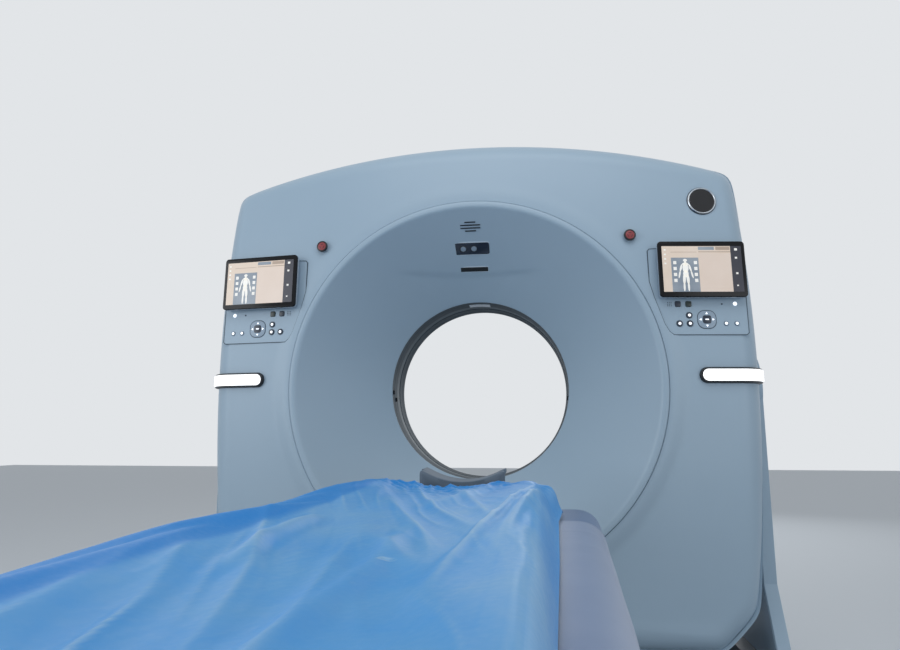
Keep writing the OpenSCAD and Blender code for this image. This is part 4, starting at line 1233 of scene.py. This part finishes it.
def rest_place(around, lengthwise):
    """Concave foam section, deep at its heel and thin at its tip, rounded at every rim."""
    y = REST_NEAR + (REST_TIP - REST_NEAR) * clamp((lengthwise - 0.02) / 0.96)
    round_end = quarter_round(min(y - REST_NEAR, REST_TIP - y) / 0.012)
    turn = around * 2 * math.pi
    half = REST_HALF - 0.010 * (1 - round_end)
    x = half * math.copysign(min(1.0, abs(math.cos(turn)) ** 0.6), math.cos(turn))
    top = DECK_TOP + 0.056 + REST_R - math.sqrt(REST_R ** 2 - x * x)
    shell = top - 0.0200
    heel = min(DECK_TOP + 0.0362, shell)
    low = heel + (shell - heel) * smooth((y - REST_NEAR - 0.040) / 0.010)
    rim = (1 - abs(x / half) ** 14) ** (1 / 5) if abs(x) < half else 0.0
    depth = (top - low) * (0.80 + 0.20 * round_end)
    middle = (top + low) / 2
    z = middle + math.copysign(depth / 2 * rim, math.sin(turn))
    if lengthwise < 0.01 or lengthwise > 0.99:
        x, z = x * 0.92, middle
    return Vector((x, y, z))


foam = laid(120, 60, rest_place)
bmesh.ops.recalc_face_normals(foam, faces=foam.faces)
for low, high, near, far in ((0.6582, 0.6800, -0.9045, -0.7450),
                             (0.6702, 0.6895, -0.8000, -0.6700)):
    plate = box(0.120, far - near, high - low, (0, (near + far) / 2, (low + high) / 2))
    ease_edges(plate, plate.edges, 0.003, 3)
    join(foam, plate, material=1)
head_support = new_piece("head_support", foam, [headrest_foam, carbon], 50)
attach(head_support, "cradle")
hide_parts("headrest")

# Loose blue film
# A crumpled sheet of thin blue plastic film over the cradle and the deck, bunched at the
# gantry end, with long soft folds and fine creases. Its two sides are parts of their own.
film_blue = finish("film_blue", moulded, (80, 161, 227), (102, 169, 223), 0.42, patch=9.0,
                   grain=120.0, spread=0.22, bump=0.16, depth=0.0010, Specular_IOR_Level=0.22,
                   Coat_Weight=0.05, Coat_Roughness=0.2)
film_tree = film_blue.node_tree
film_shader = film_tree.nodes["Principled BSDF"]
# The first attribute mixes a pale blue into the film, a painted highlight on its ridges and
# streaks; the second mixes in a deeper blue at the head, the left edge and the right flap.
for attribute, tint in (("ridge_highlight", (152, 194, 228)), ("bunch", (44, 138, 216))):
    base = film_shader.inputs["Base Color"].links[0].from_socket
    amount = wired(film_tree, "ShaderNodeAttribute", {}, attribute_name=attribute).outputs["Fac"]
    tinted = wired(film_tree, "ShaderNodeMix", {"Factor": amount, "A": base, "B": paint(*tint)},
                   data_type="RGBA")
    feed(film_shader, {"Base Color": tinted.outputs["Result"]})
FILM_HEAD, FILM_FOOT, FILM_THICK = -0.985, -2.900, 0.0006
FILM_SECTION = [(-0.403, 0.6545), (-0.4005, 0.6625), (-0.384, 0.6725), (-0.362, 0.6820),
                (-0.290, 0.7050), (-0.219, 0.7265), (-0.201, 0.7270), (-0.110, 0.7060),
                (0.0, 0.6985), (0.110, 0.7060), (0.196, 0.7262), (0.217, 0.7262), (0.232, 0.7120),
                (0.246, 0.6830), (0.255, 0.6600), (0.262, 0.6530)]
FILM_CREST = [(-0.403, 0.0), (-0.300, 0.004), (-0.200, 0.000), (-0.146, 0.013), (-0.106, 0.007),
              (-0.060, 0.004), (0.054, 0.004), (0.119, 0.014), (0.158, 0.000), (0.230, 0.0),
              (0.262, 0.006)]
FILM_RIGHT = [(-2.9, 0.235), (-2.1, 0.240), (-1.69, 0.255), (-1.223, 0.268), (-1.05, 0.284),
              (-0.985, 0.272)]
FILM_FOLDS = [([(-0.160, -1.45), (-0.180, -1.70), (-0.235, -2.00), (-0.300, -2.30)],
               0.020, 0.011),
              ([(-0.135, -1.62), (-0.120, -1.85), (-0.090, -2.15)], 0.014, 0.012),
              ([(0.245, -1.08), (0.215, -1.35), (0.190, -1.70), (0.175, -2.15)], 0.012, 0.010),
              ([(0.228, -1.04), (0.175, -1.45), (0.140, -1.90), (0.125, -2.25)], 0.009, 0.008),
              ([(-0.192, -0.99), (-0.200, -1.60), (-0.202, -2.30), (-0.200, -3.30)], 0.016, 0.005),
              ([(0.119, -0.985), (0.060, -1.20), (-0.020, -1.50)], 0.030, 0.010),
              ([(-0.150, -0.985), (-0.200, -1.25), (-0.235, -1.60)], 0.022, 0.009),
              ([(0.020, -1.60), (0.050, -2.00), (0.040, -2.60)], 0.016, 0.007)]
ACROSS, LENGTH = ((180, 400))


def fold_height(x, y):
    """Height of the long folds at a place, each a soft ridge along a bent line."""
    height = 0.0
    for line, width, tall in FILM_FOLDS:
        for index, (start, end) in enumerate(zip(line, line[1:])):
            way = (end[0] - start[0], end[1] - start[1])
            long = way[0] ** 2 + way[1] ** 2
            share = ((x - start[0]) * way[0] + (y - start[1]) * way[1]) / long
            if 0 <= share <= 1:
                run = (index + share) / (len(line) - 1)
                taper = smooth(min(run, 1 - run) / 0.35)
                off = math.hypot(x - start[0] - way[0] * share, y - start[1] - way[1] * share)
                height = max(height, tall * taper * math.exp(-(off / width) ** 2))
    return height


def crest(x, y, seed, sharpness):
    """Value that peaks in a soft ridge wherever the noise crosses nought."""
    value = noise.noise(Vector((x, y, seed)))
    return max(0.0, 1 - (math.sqrt(value * value + 0.0012) - 0.035) * sharpness) ** 1.5


def film_place(across, lengthwise):
    """Place on the film: its laid section, then bunch, folds, swells and creases on it."""
    left, right = FILM_SECTION[0][0], FILM_SECTION[-1][0]
    plain = left + (right - left) * across
    head = FILM_HEAD - 0.085 * max(0.0, (plain - 0.14) / 0.12) ** 1.5
    head += 0.010 * noise.noise(Vector((plain * 16, 3, 0)))
    y = FILM_FOOT + (head - FILM_FOOT) * lengthwise
    share = clamp((plain - 0.20) / (right - 0.20))
    x = plain + (between(FILM_RIGHT, y) - right) * share ** 2
    slip = plain + 0.007 * noise.noise(Vector((y * 6, 0, 51.0))) * min(1.0, (right - plain) / 0.04)
    z = sum(between(FILM_SECTION, slip + step) for step in (-0.009, -0.003, 0.003, 0.009)) / 4
    free = min(1.0, min(plain - left, right - plain) / 0.03)
    bunched = max(0.0, 1 - (head - y) / 0.13)
    z += between(FILM_CREST, plain) * bunched ** 1.5
    z += fold_height(plain, y) * (0.35 + 0.65 * free)
    slow = noise.noise(Vector((plain * 5 + y * 1.7, y * 1.9, 2.0)))
    calm = 0.5 + 0.5 * noise.noise(Vector((plain * 4, y * 2.5, 17.0)))
    swell = 0.0060 * crest(plain * 11 + y * 3.0, y * 1.5, 5.0, 3.0) + 0.0040 * (slow + 0.6)
    swell += 0.0016 * crest(plain * 24 + y * 7, y * 3, 9.0, 3.4) * (0.4 + calm)
    swell += 0.0007 * crest(plain * 38 - y * 9, y * 11, 12.0, 3.0) * calm
    swell += 0.0060 * bunched ** 0.7 * crest(plain * 30, y * 30, 21.0, 2.6)
    crumple = max(0.0, 1 - (head - y) / 0.26) * math.exp(-((plain + 0.04) / 0.13) ** 2)
    swell += 0.0042 * crumple * crest(plain * 38 + y * 12, y * 46, 24.0, 2.8)
    swell *= 0.22 + 0.78 * clamp((plain + 0.205) / 0.06)
    swell *= 1 - 0.55 * clamp((plain - 0.135) / 0.05)
    z += swell * (0.30 + 0.70 * free)
    roll = math.exp(-((plain - 0.243) / 0.013) ** 2) * bunched
    x, z = x + 0.010 * roll, z + 0.024 * roll
    if lengthwise > 0.985:
        z -= 0.010 * ((lengthwise - 0.985) / 0.015) ** 2
    return Vector((x, y, z))


film_mesh = laid(ACROSS, LENGTH, film_place)
film_mesh.faces.ensure_lookup_table()
if film_mesh.faces[len(film_mesh.faces) // 2].normal.z < 0:
    bmesh.ops.reverse_faces(film_mesh, faces=film_mesh.faces)
film_mesh.normal_update()
ridge_highlight = film_mesh.verts.layers.float.new("ridge_highlight")
bunch = film_mesh.verts.layers.float.new("bunch")
for vert in film_mesh.verts:
    ring = [edge.other_vert(vert).co for edge in vert.link_edges]
    middle = sum(ring, Vector()) / len(ring)
    bend = (vert.co - middle).dot(vert.normal)
    streak = noise.noise(Vector((vert.co.x * 7 + vert.co.y * 2, vert.co.y * 1.6, 31.0)))
    near_head = min(1.0, math.exp((vert.co.y - FILM_HEAD + 0.03) / 0.12))
    near_left = clamp((-0.158 - vert.co.x + 0.010 * streak) / 0.012)
    # Painted highlight: paler on convex bends and along noise streaks, less so at the bunched head
    # and the left edge.
    vert[ridge_highlight] = clamp((bend * 1100 + streak * 0.55 + 0.10)
                         * (1 - 0.80 * max(near_head, near_left)))
    flap = clamp((vert.co.x - 0.222) / 0.01) * 0.45
    deep = max(near_head, near_left * 0.95, flap) - vert[ridge_highlight] * 0.35
    deep += 0.25 * noise.noise(Vector((vert.co.x * 11, vert.co.y * 5, 41.0)))
    vert[bunch] = min(0.9, max(0.0, deep))
TRAY_SIDE_LEFT, TRAY_SIDE_RIGHT = -0.217, 0.215


def film_part(name, inside):
    """Part of the film where inside says so, given its thin wall and carried by the cradle.
    Its declared width is its own area over the film's length, not the size of a real cut.
    """
    part = film_mesh.copy()
    away = [face for face in part.faces if not inside(face.calc_center_median().x)]
    bmesh.ops.delete(part, geom=away, context="FACES")
    area = sum(face.calc_area() for face in part.faces)
    bmesh.ops.solidify(part, geom=part.faces, thickness=FILM_THICK)
    made = new_piece(name, part, [film_blue], 80)
    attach(made, "cradle")
    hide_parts("drape")
    return made


film_part("blue_film", lambda x: TRAY_SIDE_LEFT <= x <= TRAY_SIDE_RIGHT)
film_left = film_part("film_left_side", lambda x: x < TRAY_SIDE_LEFT)
film_right = film_part("film_right_side", lambda x: x > TRAY_SIDE_RIGHT)
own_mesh(film_left)
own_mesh(film_right)
